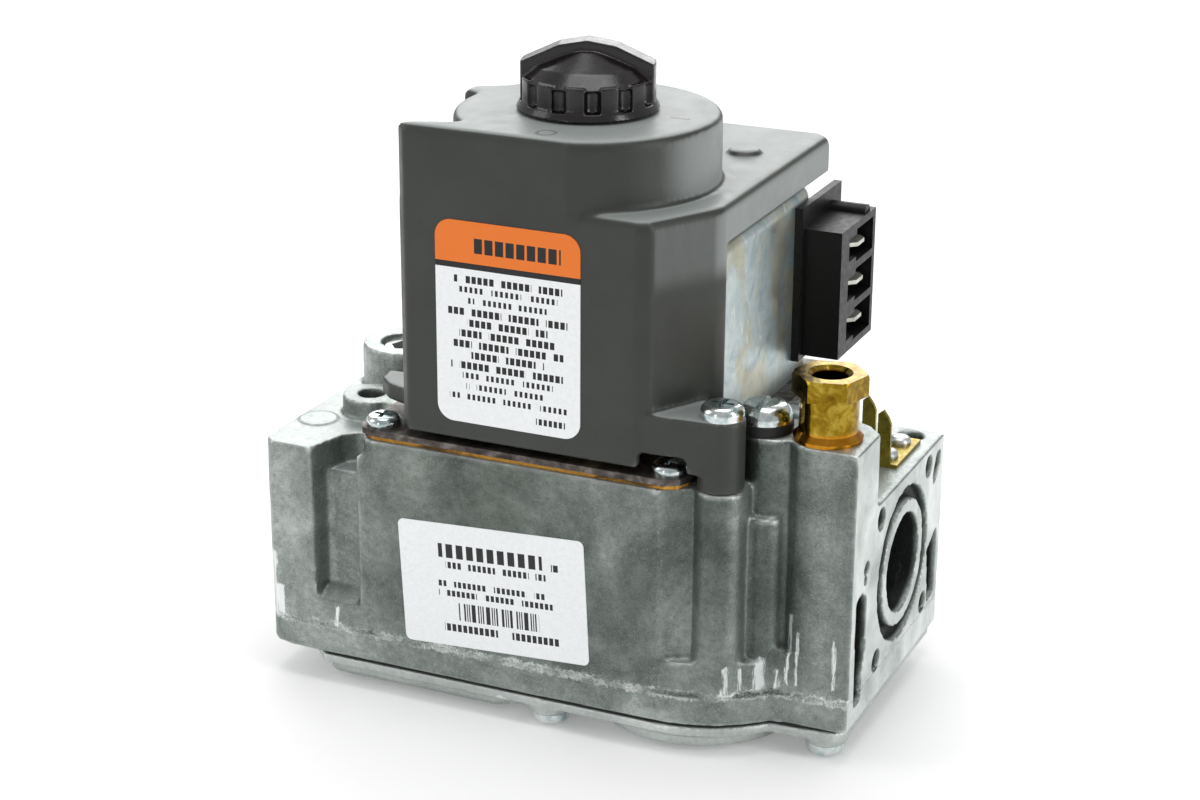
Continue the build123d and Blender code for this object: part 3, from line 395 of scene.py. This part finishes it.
def belt_edge(m, base):
    """Ragged painted highlight along the belt's upper edge, where light from above catches the ledge;
    returns the belt's relief as well.
    """
    jag = m.noise(0.8, 3.0, 0.75, 0.6, 8.0)
    rim = m.calc("ADD", m.axis("Z"), m.times(m.calc("SUBTRACT", jag, 0.5), 3.4))
    line = m.times(m.span(rim, BELT_TOP - 0.9, BELT_TOP - 0.3, 0.0, 1.0),
                   m.span(rim, BELT_TOP + 0.3, BELT_TOP + 0.8, 1.0, 0.0),
                   m.span(m.noise(0.22, 2.0, 0.6, 0.0, 9.0), 0.40, 0.58, 0.25, 1.0))
    wall = m.span(m.face("Z"), 0.55, 0.25, 0.0, 1.0)
    base = m.mix(m.times(line, wall, 0.85), base, srgb(226, 231, 228))
    return base, m.span(rim, BELT_TOP - 0.5, BELT_TOP + 0.2, 1.0, 0.0, True)


def outlet_face(m, base, cloud):
    """Clean machined face round the outlet."""
    end = m.times(m.span(m.face("X"), 0.85, 0.97, 0.0, 1.0, True),
                  m.span(m.axis("X"), -0.9, -0.5, 0.0, 1.0))
    tint = m.ramp(cloud, [(0.35, srgb(176, 184, 182)), (0.62, srgb(236, 240, 239))])
    return m.mix(m.times(end, 0.85), base, tint)


def painted_light_on_metal(m, base):
    """Tops painted bright as if lit from above, edges painted with highlights and corners painted dark as
    shade; returns both bright masks as well.
    """
    # painted light on upward faces, and painted highlights on edges
    up = m.span(m.face("Z"), 0.80, 0.97, 0.0, 1.0, True)
    edge = m.span(m.pointy(), 0.515, 0.58, 0.0, 0.85, True)
    # painted shade in corners and creases
    crease_shade = m.span(m.pointy(), 0.485, 0.42, 0.0, 0.75, True)
    base = m.mix(m.times(up, 0.62), base, srgb(206, 212, 210))
    base = m.mix(edge, base, srgb(228, 232, 230))
    return m.mix(crease_shade, base, srgb(48, 52, 50)), up, edge


def shade_in_outlet_hollows(m, base):
    """The outlet bore, its seal groove and the cored pockets are painted dark inside, as shade."""
    hollow = m.calc("MAXIMUM", m.zone(0.3, **POCKETS), m.zone(0.3, **BORE))
    inside = m.span(m.axis("X"), -1.4, -0.5, 1.0, 0.0, True)
    return m.mix(m.times(hollow, inside, 0.88), base, srgb(38, 40, 38))


def pad_groove(m, base, up):
    """Fine darker ring round the cast pad on the inlet block."""
    r = m.radius(*PAD)
    ring = m.times(m.span(r, PAD_GROOVE_R - 0.5, PAD_GROOVE_R - 0.15, 0.0, 1.0, True),
                   m.span(r, PAD_GROOVE_R + 0.15, PAD_GROOVE_R + 0.6, 1.0, 0.0, True))
    return m.mix(m.times(ring, up, 0.7), base, srgb(110, 116, 112))


def cast_surface(m, cloud, fine, grain, edge):
    """Roughness and relief of the cast skin, smoother on the edges that are painted bright."""
    rough = m.calc("ADD", m.span(cloud, 0.3, 0.75, 0.50, 0.34), m.span(fine, 0.3, 0.7, -0.06, 0.10))
    m.put("Roughness", m.calc("SUBTRACT", rough, m.times(edge, 0.12)))
    m.bump(m.noise(0.16, 3.0, 0.6, 0.4, 4.0), 0.55, 0.55)
    m.bump(m.calc("ADD", fine, m.times(grain, 0.7)), 0.13, 0.8)


def cast_aluminium():
    """The body casting."""
    m = Mat("cast_aluminium", (0.4, 0.4, 0.4), 0.5, metal=0.86)
    cloud, fine, grain = cast_texture(m)
    front = m.span(m.face("Y"), -0.35, -0.9, 0.0, 1.0, True)
    base = light_and_shade_front(m, cast_colour(m, cloud, fine, grain), front)
    base = highlight_streaks(m, base, front)
    base, belt = belt_edge(m, base)
    base = outlet_face(m, base, cloud)
    base, up, edge = painted_light_on_metal(m, base)
    base = shade_in_outlet_hollows(m, base)
    m.put("Base Color", pad_groove(m, base, up))
    cast_surface(m, cloud, fine, grain, edge)
    m.bump(belt, 0.7, 0.9)
    return m.material


def floor_lit_cover():
    """The bottom cover: the same metal, painted lighter to stand in for light thrown up from the floor."""
    m = Mat("floor_lit_cover", (0.4, 0.4, 0.4), 0.5, metal=0.86)
    cloud, fine, grain = cast_texture(m)
    # painted light: the whole cover mixed toward near white
    base = m.mix(0.35, cast_colour(m, cloud, fine, grain), srgb(236, 240, 238))
    base, _, edge = painted_light_on_metal(m, base)
    m.put("Base Color", base)
    cast_surface(m, cloud, fine, grain, edge)
    return m.material


# ---------------------------------------------------------------- plastics
def knob_marks(m, up):
    """Mask of the raised ring and bar on the cover's top, beside the knob."""
    r = m.radius(*CLOSED_MARK)
    ring = m.times(m.span(r, CLOSED_MARK_R - 0.4, CLOSED_MARK_R - 0.2, 0.0, 1.0),
                   m.span(r, CLOSED_MARK_R + 0.2, CLOSED_MARK_R + 0.4, 1.0, 0.0))
    return m.times(m.calc("MAXIMUM", ring, m.zone(0.1, **OPEN_MARK)), up)


def cover_plastic():
    m = Mat("cover_plastic", srgb(46, 48, 45), 0.45, spec=0.42, coat=0.12)
    m.put("Coat Roughness", 0.42)
    base = m.ramp(m.noise(0.05, 4.0, 0.6, 0.3, 1.0),
                  [(0.3, srgb(41, 44, 40)), (0.6, srgb(48, 51, 46)), (0.8, srgb(56, 59, 54))])
    specks = m.noise(2.0, 2.0, 0.7, 0.0, 5.0)
    base = m.mix(m.span(specks, 0.70, 0.80, 0.0, 0.35), base, srgb(84, 87, 82))
    streak = m.noise((0.5, 0.5, 0.06), 3.0, 0.6, 0.2, 9.0)
    base = m.mix(m.span(streak, 0.68, 0.8, 0.0, 0.25, True), base, srgb(34, 36, 33))
    # painted light on the top, and on the right side near the top
    up = m.span(m.face("Z"), 0.75, 0.97, 0.0, 0.85, True)
    base = m.mix(up, base, srgb(150, 156, 154))
    right = m.times(m.span(m.face("X"), 0.80, 0.99, 0.0, 0.85, True),
                    m.span(m.axis("Z"), 58.0, 63.0, 0.0, 1.0, True))
    base = m.mix(right, base, srgb(140, 146, 144))
    marks = knob_marks(m, up)
    base = m.mix(m.times(marks, 0.55), base, srgb(84, 88, 86))
    # painted highlight along the moulding's edges
    edge = m.span(m.pointy(), 0.52, 0.60, 0.0, 0.5, True)
    m.put("Base Color", m.mix(edge, base, srgb(128, 132, 128)))
    m.put("Roughness", m.span(m.noise(0.25, 4.0, 0.6, 0.5, 3.0), 0.3, 0.7, 0.36, 0.52))
    m.bump(m.noise(3.5, 2.0, 0.5, 0.0, 2.0), 0.035, 0.8)
    m.bump(m.noise(0.07, 2.0, 0.5, 0.0, 8.0), 0.25, 0.35)
    m.bump(marks, 0.3, 0.9)
    return m.material


def knob_plastic():
    m = Mat("knob_plastic", srgb(30, 24, 24), 0.25, spec=0.55)
    m.put("Base Color", m.ramp(m.noise(0.12, 4.0, 0.6, 0.4, 1.0),
                               [(0.3, srgb(12, 8, 9)), (0.6, srgb(20, 14, 14)), (0.8, srgb(30, 23, 22))]))
    m.put("Roughness", m.span(m.noise(0.5, 4.0, 0.65, 0.6, 3.0), 0.3, 0.7, 0.16, 0.30))
    m.bump(m.noise(2.6, 2.0, 0.5, 0.0, 2.0), 0.03, 0.6)
    m.bump(m.noise(0.12, 2.0, 0.5, 0.0, 8.0), 0.20, 0.35)
    return m.material


def black_plastic():
    m = Mat("black_plastic", srgb(15, 12, 13), 0.4, spec=0.35)
    m.put("Base Color", m.ramp(m.noise(0.3, 4.0, 0.6, 0.4, 1.0),
                               [(0.3, srgb(12, 9.6, 10.4)), (0.6, srgb(15, 12, 13)),
                                (0.85, srgb(22.5, 18, 19.5))]))
    m.put("Roughness", m.span(m.noise(0.8, 3.0, 0.6, 0.3, 3.0), 0.3, 0.7, 0.34, 0.52))
    m.bump(m.noise(3.0, 2.0, 0.6, 0.0, 2.0), 0.04, 0.7)
    return m.material


# ---------------------------------------------------------------- sheet and small metal
def plated(name, tint):
    """Spangled plated metal; returns the colour as well, for more to be laid over it."""
    m = Mat(name, tint, 0.35, metal=0.9)
    cloud = m.noise(0.12, 4.0, 0.65, 1.2, 2.0)
    base = m.ramp(cloud, [(0.3, srgb(140, 160, 164)), (0.5, tint), (0.72, srgb(205, 212, 208))])
    base = m.mix(m.span(m.cells(0.35), 0.2, 0.9, 0.0, 0.18), base, srgb(228, 232, 228))
    m.put("Roughness", m.span(cloud, 0.3, 0.7, 0.48, 0.28))
    m.bump(m.noise(1.2, 3.0, 0.6, 0.2, 4.0), 0.03, 0.7)
    m.bump(m.noise(0.10, 2.0, 0.5, 0.0, 5.0), 0.3, 0.5)
    return m, base


def zinc_sheet():
    """Plated sheet with tan smudges and paler wipes."""
    m, base = plated("zinc_sheet", srgb(178, 194, 196))
    blot = m.noise((0.07, 0.09, 0.055), 5.0, 0.7, 1.4, 6.0)
    base = m.mix(m.span(blot, 0.48, 0.60, 0.0, 0.72, True), base, srgb(190, 184, 158))
    pale = m.noise((0.2, 0.3, 0.10), 4.0, 0.7, 1.2, 9.0)
    base = m.mix(m.span(pale, 0.60, 0.68, 0.0, 0.7, True), base, srgb(232, 232, 222))
    m.put("Base Color", base)
    return m.material


def plain_steel():
    m, base = plated("plain_steel", srgb(196, 198, 196))
    m.put("Base Color", base)
    return m.material


def bright_screw():
    m = Mat("bright_screw", srgb(205, 214, 214), 0.16, metal=1.0)
    m.put("Base Color", m.ramp(m.noise(0.5, 3.0, 0.6, 0.6, 2.0),
                               [(0.3, srgb(150, 178, 184)), (0.5, srgb(212, 219, 218)),
                                (0.75, srgb(236, 238, 232))]))
    m.put("Roughness", m.span(m.noise(1.4, 3.0, 0.6, 0.0, 3.0), 0.3, 0.7, 0.12, 0.30))
    m.bump(m.noise(2.4, 2.0, 0.6, 0.0, 4.0), 0.02, 0.6)
    return m.material


def tin_plate():
    m = Mat("tin_plate", srgb(206, 206, 198), 0.45, metal=0.45)
    cloud = m.noise(0.5, 3.0, 0.6, 0.6, 2.0)
    m.put("Base Color", m.ramp(cloud, [(0.3, srgb(176, 176, 168)), (0.6, srgb(214, 214, 206)),
                                       (0.8, srgb(236, 236, 230))]))
    m.put("Roughness", m.span(cloud, 0.3, 0.7, 0.50, 0.34))
    m.bump(m.noise(1.6, 3.0, 0.6, 0.0, 4.0), 0.03, 0.6)
    return m.material


def turned_brass(name, light, dark, rough):
    """Spotted brass with turning marks; returns the colour as well, for more over it."""
    m = Mat(name, light, 0.2, metal=1.0)
    base = m.ramp(m.noise(0.35, 4.0, 0.65, 0.6, 2.0),
                  [(0.28, dark), (0.5, light), (0.8, srgb(206, 184, 84))])
    spots = m.noise(1.3, 3.0, 0.7, 0.8, 5.0)
    base = m.mix(m.span(spots, 0.62, 0.78, 0.0, 0.5), base, srgb(96, 66, 20))
    m.put("Roughness", m.span(m.noise(0.9, 4.0, 0.6, 0.0, 3.0), 0.3, 0.7, *rough))
    m.bump(m.noise((0.2, 0.2, 6.0), 2.0, 0.5, 0.0, 7.0), 0.02, 0.45)
    m.bump(m.noise(1.0, 2.0, 0.6, 0.0, 4.0), 0.03, 0.4)
    return m, base


def pilot_brass():
    """The pilot nut: a copper-dark bore and a warm collar."""
    m, base = turned_brass("brass", srgb(140, 112, 28), srgb(86, 62, 14), (0.08, 0.20))
    inside = m.span(m.radius(*PILOT_NUT), PILOT_BORE_R - 0.1, PILOT_BORE_R + 0.1, 1.0, 0.0)
    base = m.mix(m.times(inside, 0.9), base, srgb(112, 58, 24))
    collar = m.zone(0.3, Z=COLLAR_Z)
    m.put("Base Color", m.mix(m.times(collar, 0.55), base, srgb(206, 128, 34)))
    return m.material


def dull_brass():
    m, base = turned_brass("brass_dull", srgb(160, 142, 58), srgb(108, 90, 34), (0.24, 0.40))
    m.put("Base Color", base)
    return m.material


def dark_steel():
    """Blackened plate edge, with rust-brown rubs."""
    m = Mat("dark_steel", srgb(78, 72, 66), 0.45, metal=0.8)
    cloud = m.noise(0.25, 4.0, 0.65, 0.8, 2.0)
    m.put("Base Color", m.ramp(cloud, [(0.3, srgb(44, 40, 38)), (0.5, srgb(84, 78, 74)),
                                       (0.7, srgb(136, 130, 124)), (0.85, srgb(120, 88, 52))]))
    m.put("Roughness", m.span(cloud, 0.3, 0.7, 0.52, 0.34))
    m.bump(m.noise(1.4, 3.0, 0.6, 0.0, 4.0), 0.04, 0.7)
    return m.material


# ---------------------------------------------------------------- fibre, rubber and windings
def gasket_fibre():
    m = Mat("gasket_fibre", srgb(120, 84, 34), 0.85, spec=0.25)
    fibre = m.noise((0.9, 0.9, 2.6), 4.0, 0.75, 1.2, 2.0)
    base = m.ramp(fibre, [(0.3, srgb(110, 76, 30)), (0.5, srgb(186, 134, 52)),
                          (0.7, srgb(224, 176, 84))])
    patch = m.noise((0.07, 0.07, 0.3), 3.0, 0.6, 0.5, 4.0)
    m.put("Base Color", m.mix(m.span(patch, 0.40, 0.52, 0.8, 0.0, True), base, srgb(44, 37, 30)))
    m.bump(fibre, 0.12, 0.9)
    return m.material


def seal_rubber():
    m = Mat("seal_rubber", srgb(24, 24, 25), 0.6, spec=0.35)
    cloud = m.noise(0.6, 3.0, 0.6, 0.3, 1.0)
    m.put("Base Color", m.ramp(cloud, [(0.3, srgb(18, 18, 19)), (0.7, srgb(38, 37, 37))]))
    m.put("Roughness", m.span(cloud, 0.3, 0.7, 0.5, 0.7))
    m.bump(m.noise(3.0, 2.0, 0.6, 0.0, 3.0), 0.04, 0.7)
    return m.material


def coil_wrap():
    m = Mat("coil_wrap", srgb(120, 40, 26), 0.5, spec=0.4)
    turns = m.noise((0.1, 0.1, 3.2), 1.0, 0.3, 0.0, 2.0)
    m.put("Base Color", m.ramp(turns, [(0.35, srgb(90, 30, 20)), (0.6, srgb(150, 62, 38))]))
    m.put("Roughness", m.span(m.noise(0.8, 3.0, 0.6, 0.3, 3.0), 0.3, 0.7, 0.4, 0.6))
    m.bump(turns, 0.12, 0.8)
    return m.material


# ---------------------------------------------------------------- labels
NOTICE_MID = middle("notice_label")
RATING_MID = middle("rating_label")
RATING_TURN = 3.0        # degrees
INK = srgb(26, 25, 26)
RATING_INK = srgb(34, 34, 36)
ORANGE = srgb(238, 122, 34)
BAND = (10.3, 11.4)      # black line under the notice's orange heading
NOTICE_ROWS = 12
TALL_ROWS = (0, 3, 4, 5, 6, 7, 8)

# rows of the rating label: foot, top, left, right, pitch, fill, shift, word
RATING_ROWS = [(5.6, 8.4, -11.0, 10.6, 2.15, 0.66, 1, 0.0), (3.5, 4.8, -9.6, 11.2, 1.05, 0.66, 2, 0.9),
               (-0.3, 0.9, -11.4, 11.0, 1.02, 0.66, 3, 0.75), (-2.2, -1.0, -11.4, 12.6, 1.02, 0.68, 4, 0.8),
               (-9.4, -7.9, -10.6, 0.6, 1.15, 0.72, 5, 0.0), (-9.4, -7.9, 3.6, 13.4, 1.15, 0.72, 6, 0.0),
               (5.6, 7.0, 12.4, 13.8, 2.0, 0.9, 7, 0.0)]


def local(m, centre, turn=0.0):
    """Millimetres along and up a label that faces the front, from its middle."""
    place = m.node("ShaderNodeTexCoord")
    n = m.node("ShaderNodeMapping", vector_type="TEXTURE")
    n.inputs["Location"].default_value = (centre[0] * MM, 0, centre[1] * MM)
    n.inputs["Rotation"].default_value = (0, -math.radians(turn), 0)
    n.inputs["Scale"].default_value = (MM, MM, MM)
    m.link(place.outputs["Object"], n.inputs["Vector"])
    split = m.node("ShaderNodeSeparateXYZ")
    m.link(n.outputs["Vector"], split.inputs[0])
    return split.outputs["X"], split.outputs["Z"]


def within(m, v, lo, hi):
    """1 where v is between lo and hi, with no fading."""
    n = m.node("ShaderNodeMath", operation="COMPARE")
    m.link(v, n.inputs[0])
    n.inputs[1].default_value = (lo + hi) / 2
    n.inputs[2].default_value = (hi - lo) / 2
    return n.outputs[0]


def print_row(m, u, v, foot, top, left, right, pitch, fill, shift, word=0.0):
    """A row of plain blocks that stands for a line of print; word groups the blocks."""
    row = m.times(within(m, v, foot, top), within(m, u, left, right))
    # 40 pitches on, so that the fraction is never taken of a number below zero
    cell = m.calc("FRACT", m.calc("ADD", m.calc("DIVIDE", u, pitch), shift * 0.37 + 40))
    row = m.times(row, m.calc("LESS_THAN", cell, fill))
    if word:
        wave = m.calc("SINE", m.calc("ADD", m.times(u, word), shift * 1.7))
        row = m.times(row, m.calc("GREATER_THAN", wave, -0.82))
    return row


def any_of(m, masks):
    """The greatest of several masks."""
    top = masks[0]
    for mask in masks[1:]:
        top = m.calc("MAXIMUM", top, mask)
    return top


def notice_print(m, white):
    """An orange heading with a row of large blocks, then rows of small ones."""
    u, v = local(m, NOTICE_MID)
    ink = [print_row(m, u, v, 13.4, 16.2, -6.5, 10.6, 2.1, 0.78, 3),
           print_row(m, u, v, -17.4, -16.2, 5.6, 11.4, 1.0, 0.66, 5), within(m, v, *BAND)]
    for i in range(NOTICE_ROWS):
        half = 9.6 + 2.3 * math.sin(i * 2.4 + 0.6)
        top = 9.0 - 2.05 * i
        tall, pitch, fill = (1.35, 1.18, 0.74) if i in TALL_ROWS else (1.1, 1.02, 0.56)
        ink.append(print_row(m, u, v, top - tall, top, -half, half, pitch, fill, i, 0.85))
    head = m.mix(m.calc("GREATER_THAN", v, BAND[1]), white, ORANGE)
    return m.mix(any_of(m, ink), head, INK)


def bar_code(m, u, v):
    """Upright bars of uneven width that stand for a bar code."""
    drift = m.times(m.calc("SINE", m.times(u, 2.3)), 2.6)
    wave = m.calc("SINE", m.calc("ADD", m.times(u, 8.6), drift))
    return m.times(m.calc("GREATER_THAN", wave, -0.05), within(m, u, -7.4, 9.4), within(m, v, -7.0, -3.4))


def rating_print(m, white):
    """Rows of blocks and a bar code, turned a little on the casting."""
    u, v = local(m, RATING_MID, RATING_TURN)
    ink = [print_row(m, u, v, *row) for row in RATING_ROWS]
    ink.append(bar_code(m, u, v))
    return m.mix(any_of(m, ink), white, RATING_INK)


def paper(name, paint):
    """White label stock; paint(m, white) returns its printed colour."""
    m = Mat(name, srgb(240, 242, 243), 0.5, spec=0.4)
    fibre = m.noise(1.6, 3.0, 0.6, 0.4, 2.0)
    white = m.ramp(fibre, [(0.3, srgb(240, 243, 245)), (0.7, srgb(250, 252, 253))])
    m.put("Base Color", paint(m, white))
    m.put("Roughness", m.span(m.noise(0.4, 3.0, 0.6, 0.3, 4.0), 0.3, 0.7, 0.38, 0.56))
    m.bump(m.noise(0.09, 2.0, 0.5, 0.0, 5.0), 0.10, 0.4)
    return m.material


# ---------------------------------------------------------------- which piece is made of what
CAST = cast_aluminium()
FLOOR_LIT_COVER = floor_lit_cover()
COVER = cover_plastic()
SCREW = bright_screw()
BRASS_DULL = dull_brass()
KNOB = knob_plastic()
RUBBER = seal_rubber()
WRAP = coil_wrap()
STEEL = plain_steel()

FINISH = {
    "valve_body": CAST, "bottom_cover": FLOOR_LIT_COVER, "bottom_gasket": RUBBER, "main_diaphragm": RUBBER,
    "main_valve_stem": STEEL, "main_valve_disc": RUBBER, "bottom_cover_screws": SCREW,
    "main_valve_spring": STEEL, "top_gasket": gasket_fibre(), "top_plate": dark_steel(),
    "plate_screws": SCREW, "solenoid_frame": zinc_sheet(), "coil_first": WRAP, "coil_servo": WRAP,
    "guide_tube_first": STEEL, "guide_tube_servo": STEEL, "plunger_first": STEEL,
    "plunger_servo": STEEL, "valve_disc_first": RUBBER, "valve_disc_servo": RUBBER,
    "plunger_spring_first": STEEL, "plunger_spring_servo": STEEL, "knob": KNOB,
    "knob_shaft": BRASS_DULL, "rotor_disc": STEEL, "rotor_spring": STEEL, "shaft_seal": RUBBER,
    "operator_cover": COVER, "cover_screws": SCREW, "connector_housing": black_plastic(),
    "connector_blades": tin_plate(), "regulator_cap": SCREW, "regulator_cap_seal": RUBBER,
    "regulator_screw": STEEL, "regulator_follower": STEEL, "regulator_spring": STEEL,
    "regulator_poppet": RUBBER, "pilot_nut": pilot_brass(), "pilot_ferrule": BRASS_DULL,
    "trim_screw": BRASS_DULL, "trim_cap": STEEL, "ground_terminal": BRASS_DULL,
    "terminal_rivets": STEEL, "tap_plug": STEEL, "inlet_screen": STEEL,
    "notice_label": paper("notice_paper", notice_print),
    "rating_label": paper("rating_paper", rating_print),
}


def paint_node(name, material):
    slots = nodes[name].data.materials
    if not slots:
        slots.append(material)
    for i in range(len(slots)):
        slots[i] = material


for node_name, finish in FINISH.items():
    paint_node(node_name, finish)


# ---------------------------------------------------------------- worn edges
# bevel widths in millimetres
EDGES = {"connector_housing": 0.16, "connector_blades": 0.10, "pilot_nut": 0.12, "ground_terminal": 0.10,
         "solenoid_frame": 0.15, "top_plate": 0.12, "cover_screws": 0.08, "plate_screws": 0.08,
         "regulator_cap": 0.10, "trim_screw": 0.08, "bottom_cover_screws": 0.08}
SHARP_EDGE = math.radians(40)     # edges that turn less than this stay as they are

for node_name, width in EDGES.items():
    bevel = nodes[node_name].modifiers.new("worn_edge", "BEVEL")
    bevel.width = width * MM
    bevel.segments = 2
    bevel.limit_method = "ANGLE"
    bevel.angle_limit = SHARP_EDGE


# ---------------------------------------------------------------- softened castings and mouldings
SWELLS, RIPPLES = 0.09, 0.45      # features to the millimetre in a skin's unevenness
RIPPLE_SHARE = 0.35               # how high the ripples are beside the swells


def settle(obj, modifiers):
    """Runs modifiers on obj and keeps the result as its own mesh."""
    for kind, settings in modifiers:
        mod = obj.modifiers.new(kind, kind)
        for k, v in settings.items():
            setattr(mod, k, v)
    dg = bpy.context.evaluated_depsgraph_get()
    mesh = bpy.data.meshes.new_from_object(obj.evaluated_get(dg))
    obj.modifiers.clear()
    obj.data = mesh
    return mesh


def fractal(p, scale, seed):
    """Smooth noise at p with a finer layer over it."""
    q = p * (scale / MM) + Vector((seed, seed * 0.7, 3.1))
    return noise.noise(q) + 0.5 * noise.noise(q * 2.1)


def uneven(mesh, wave):
    """Moves a mesh's skin in and out by up to about wave millimetres, within the CAD box."""
    normals = [v.normal.copy() for v in mesh.vertices]
    for v, n in zip(mesh.vertices, normals):
        lift = wave * fractal(v.co, SWELLS, 5.0) + RIPPLE_SHARE * wave * fractal(v.co, RIPPLES, 11.0)
        moved = v.co + n * (lift * MM)
        v.co = [min(max(c, lo), hi) for c, lo, hi in zip(moved, *CAD_BOX)]


def soften(node, name, voxel, rounds, wave, body, most):
    """A copy of a node with rounded edges and a slightly uneven skin, as cast or moulded.

    voxel and wave are in millimetres, rounds are of smoothing, and most is in triangles.
    """
    obj = bpy.data.objects.new(name, nodes[node].data.copy())
    scene.collection.objects.link(obj)
    mesh = settle(obj, [("REMESH", {"mode": "VOXEL", "voxel_size": voxel * MM}),
                        ("SMOOTH", {"factor": 0.5, "iterations": rounds})])
    uneven(mesh, wave)
    count = 2 * len(mesh.polygons)
    if count > most:
        mesh = settle(obj, [("DECIMATE", {"ratio": most / count})])
    for poly in mesh.polygons:
        poly.use_smooth = True
    mesh.materials.clear()
    mesh.materials.append(FINISH[node])
    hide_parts(node)
    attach(obj, body)


soften("valve_body", "body_casting", 0.55, 4, 0.10, "valve", 190000)
soften("bottom_cover", "bottom_casting", 0.5, 3, 0.06, "valve", 90000)
soften("operator_cover", "cover_moulding", 0.55, 3, 0.02, "valve", 190000)
soften("knob", "knob_moulding", 0.22, 2, 0.0, "knob_set", 120000)
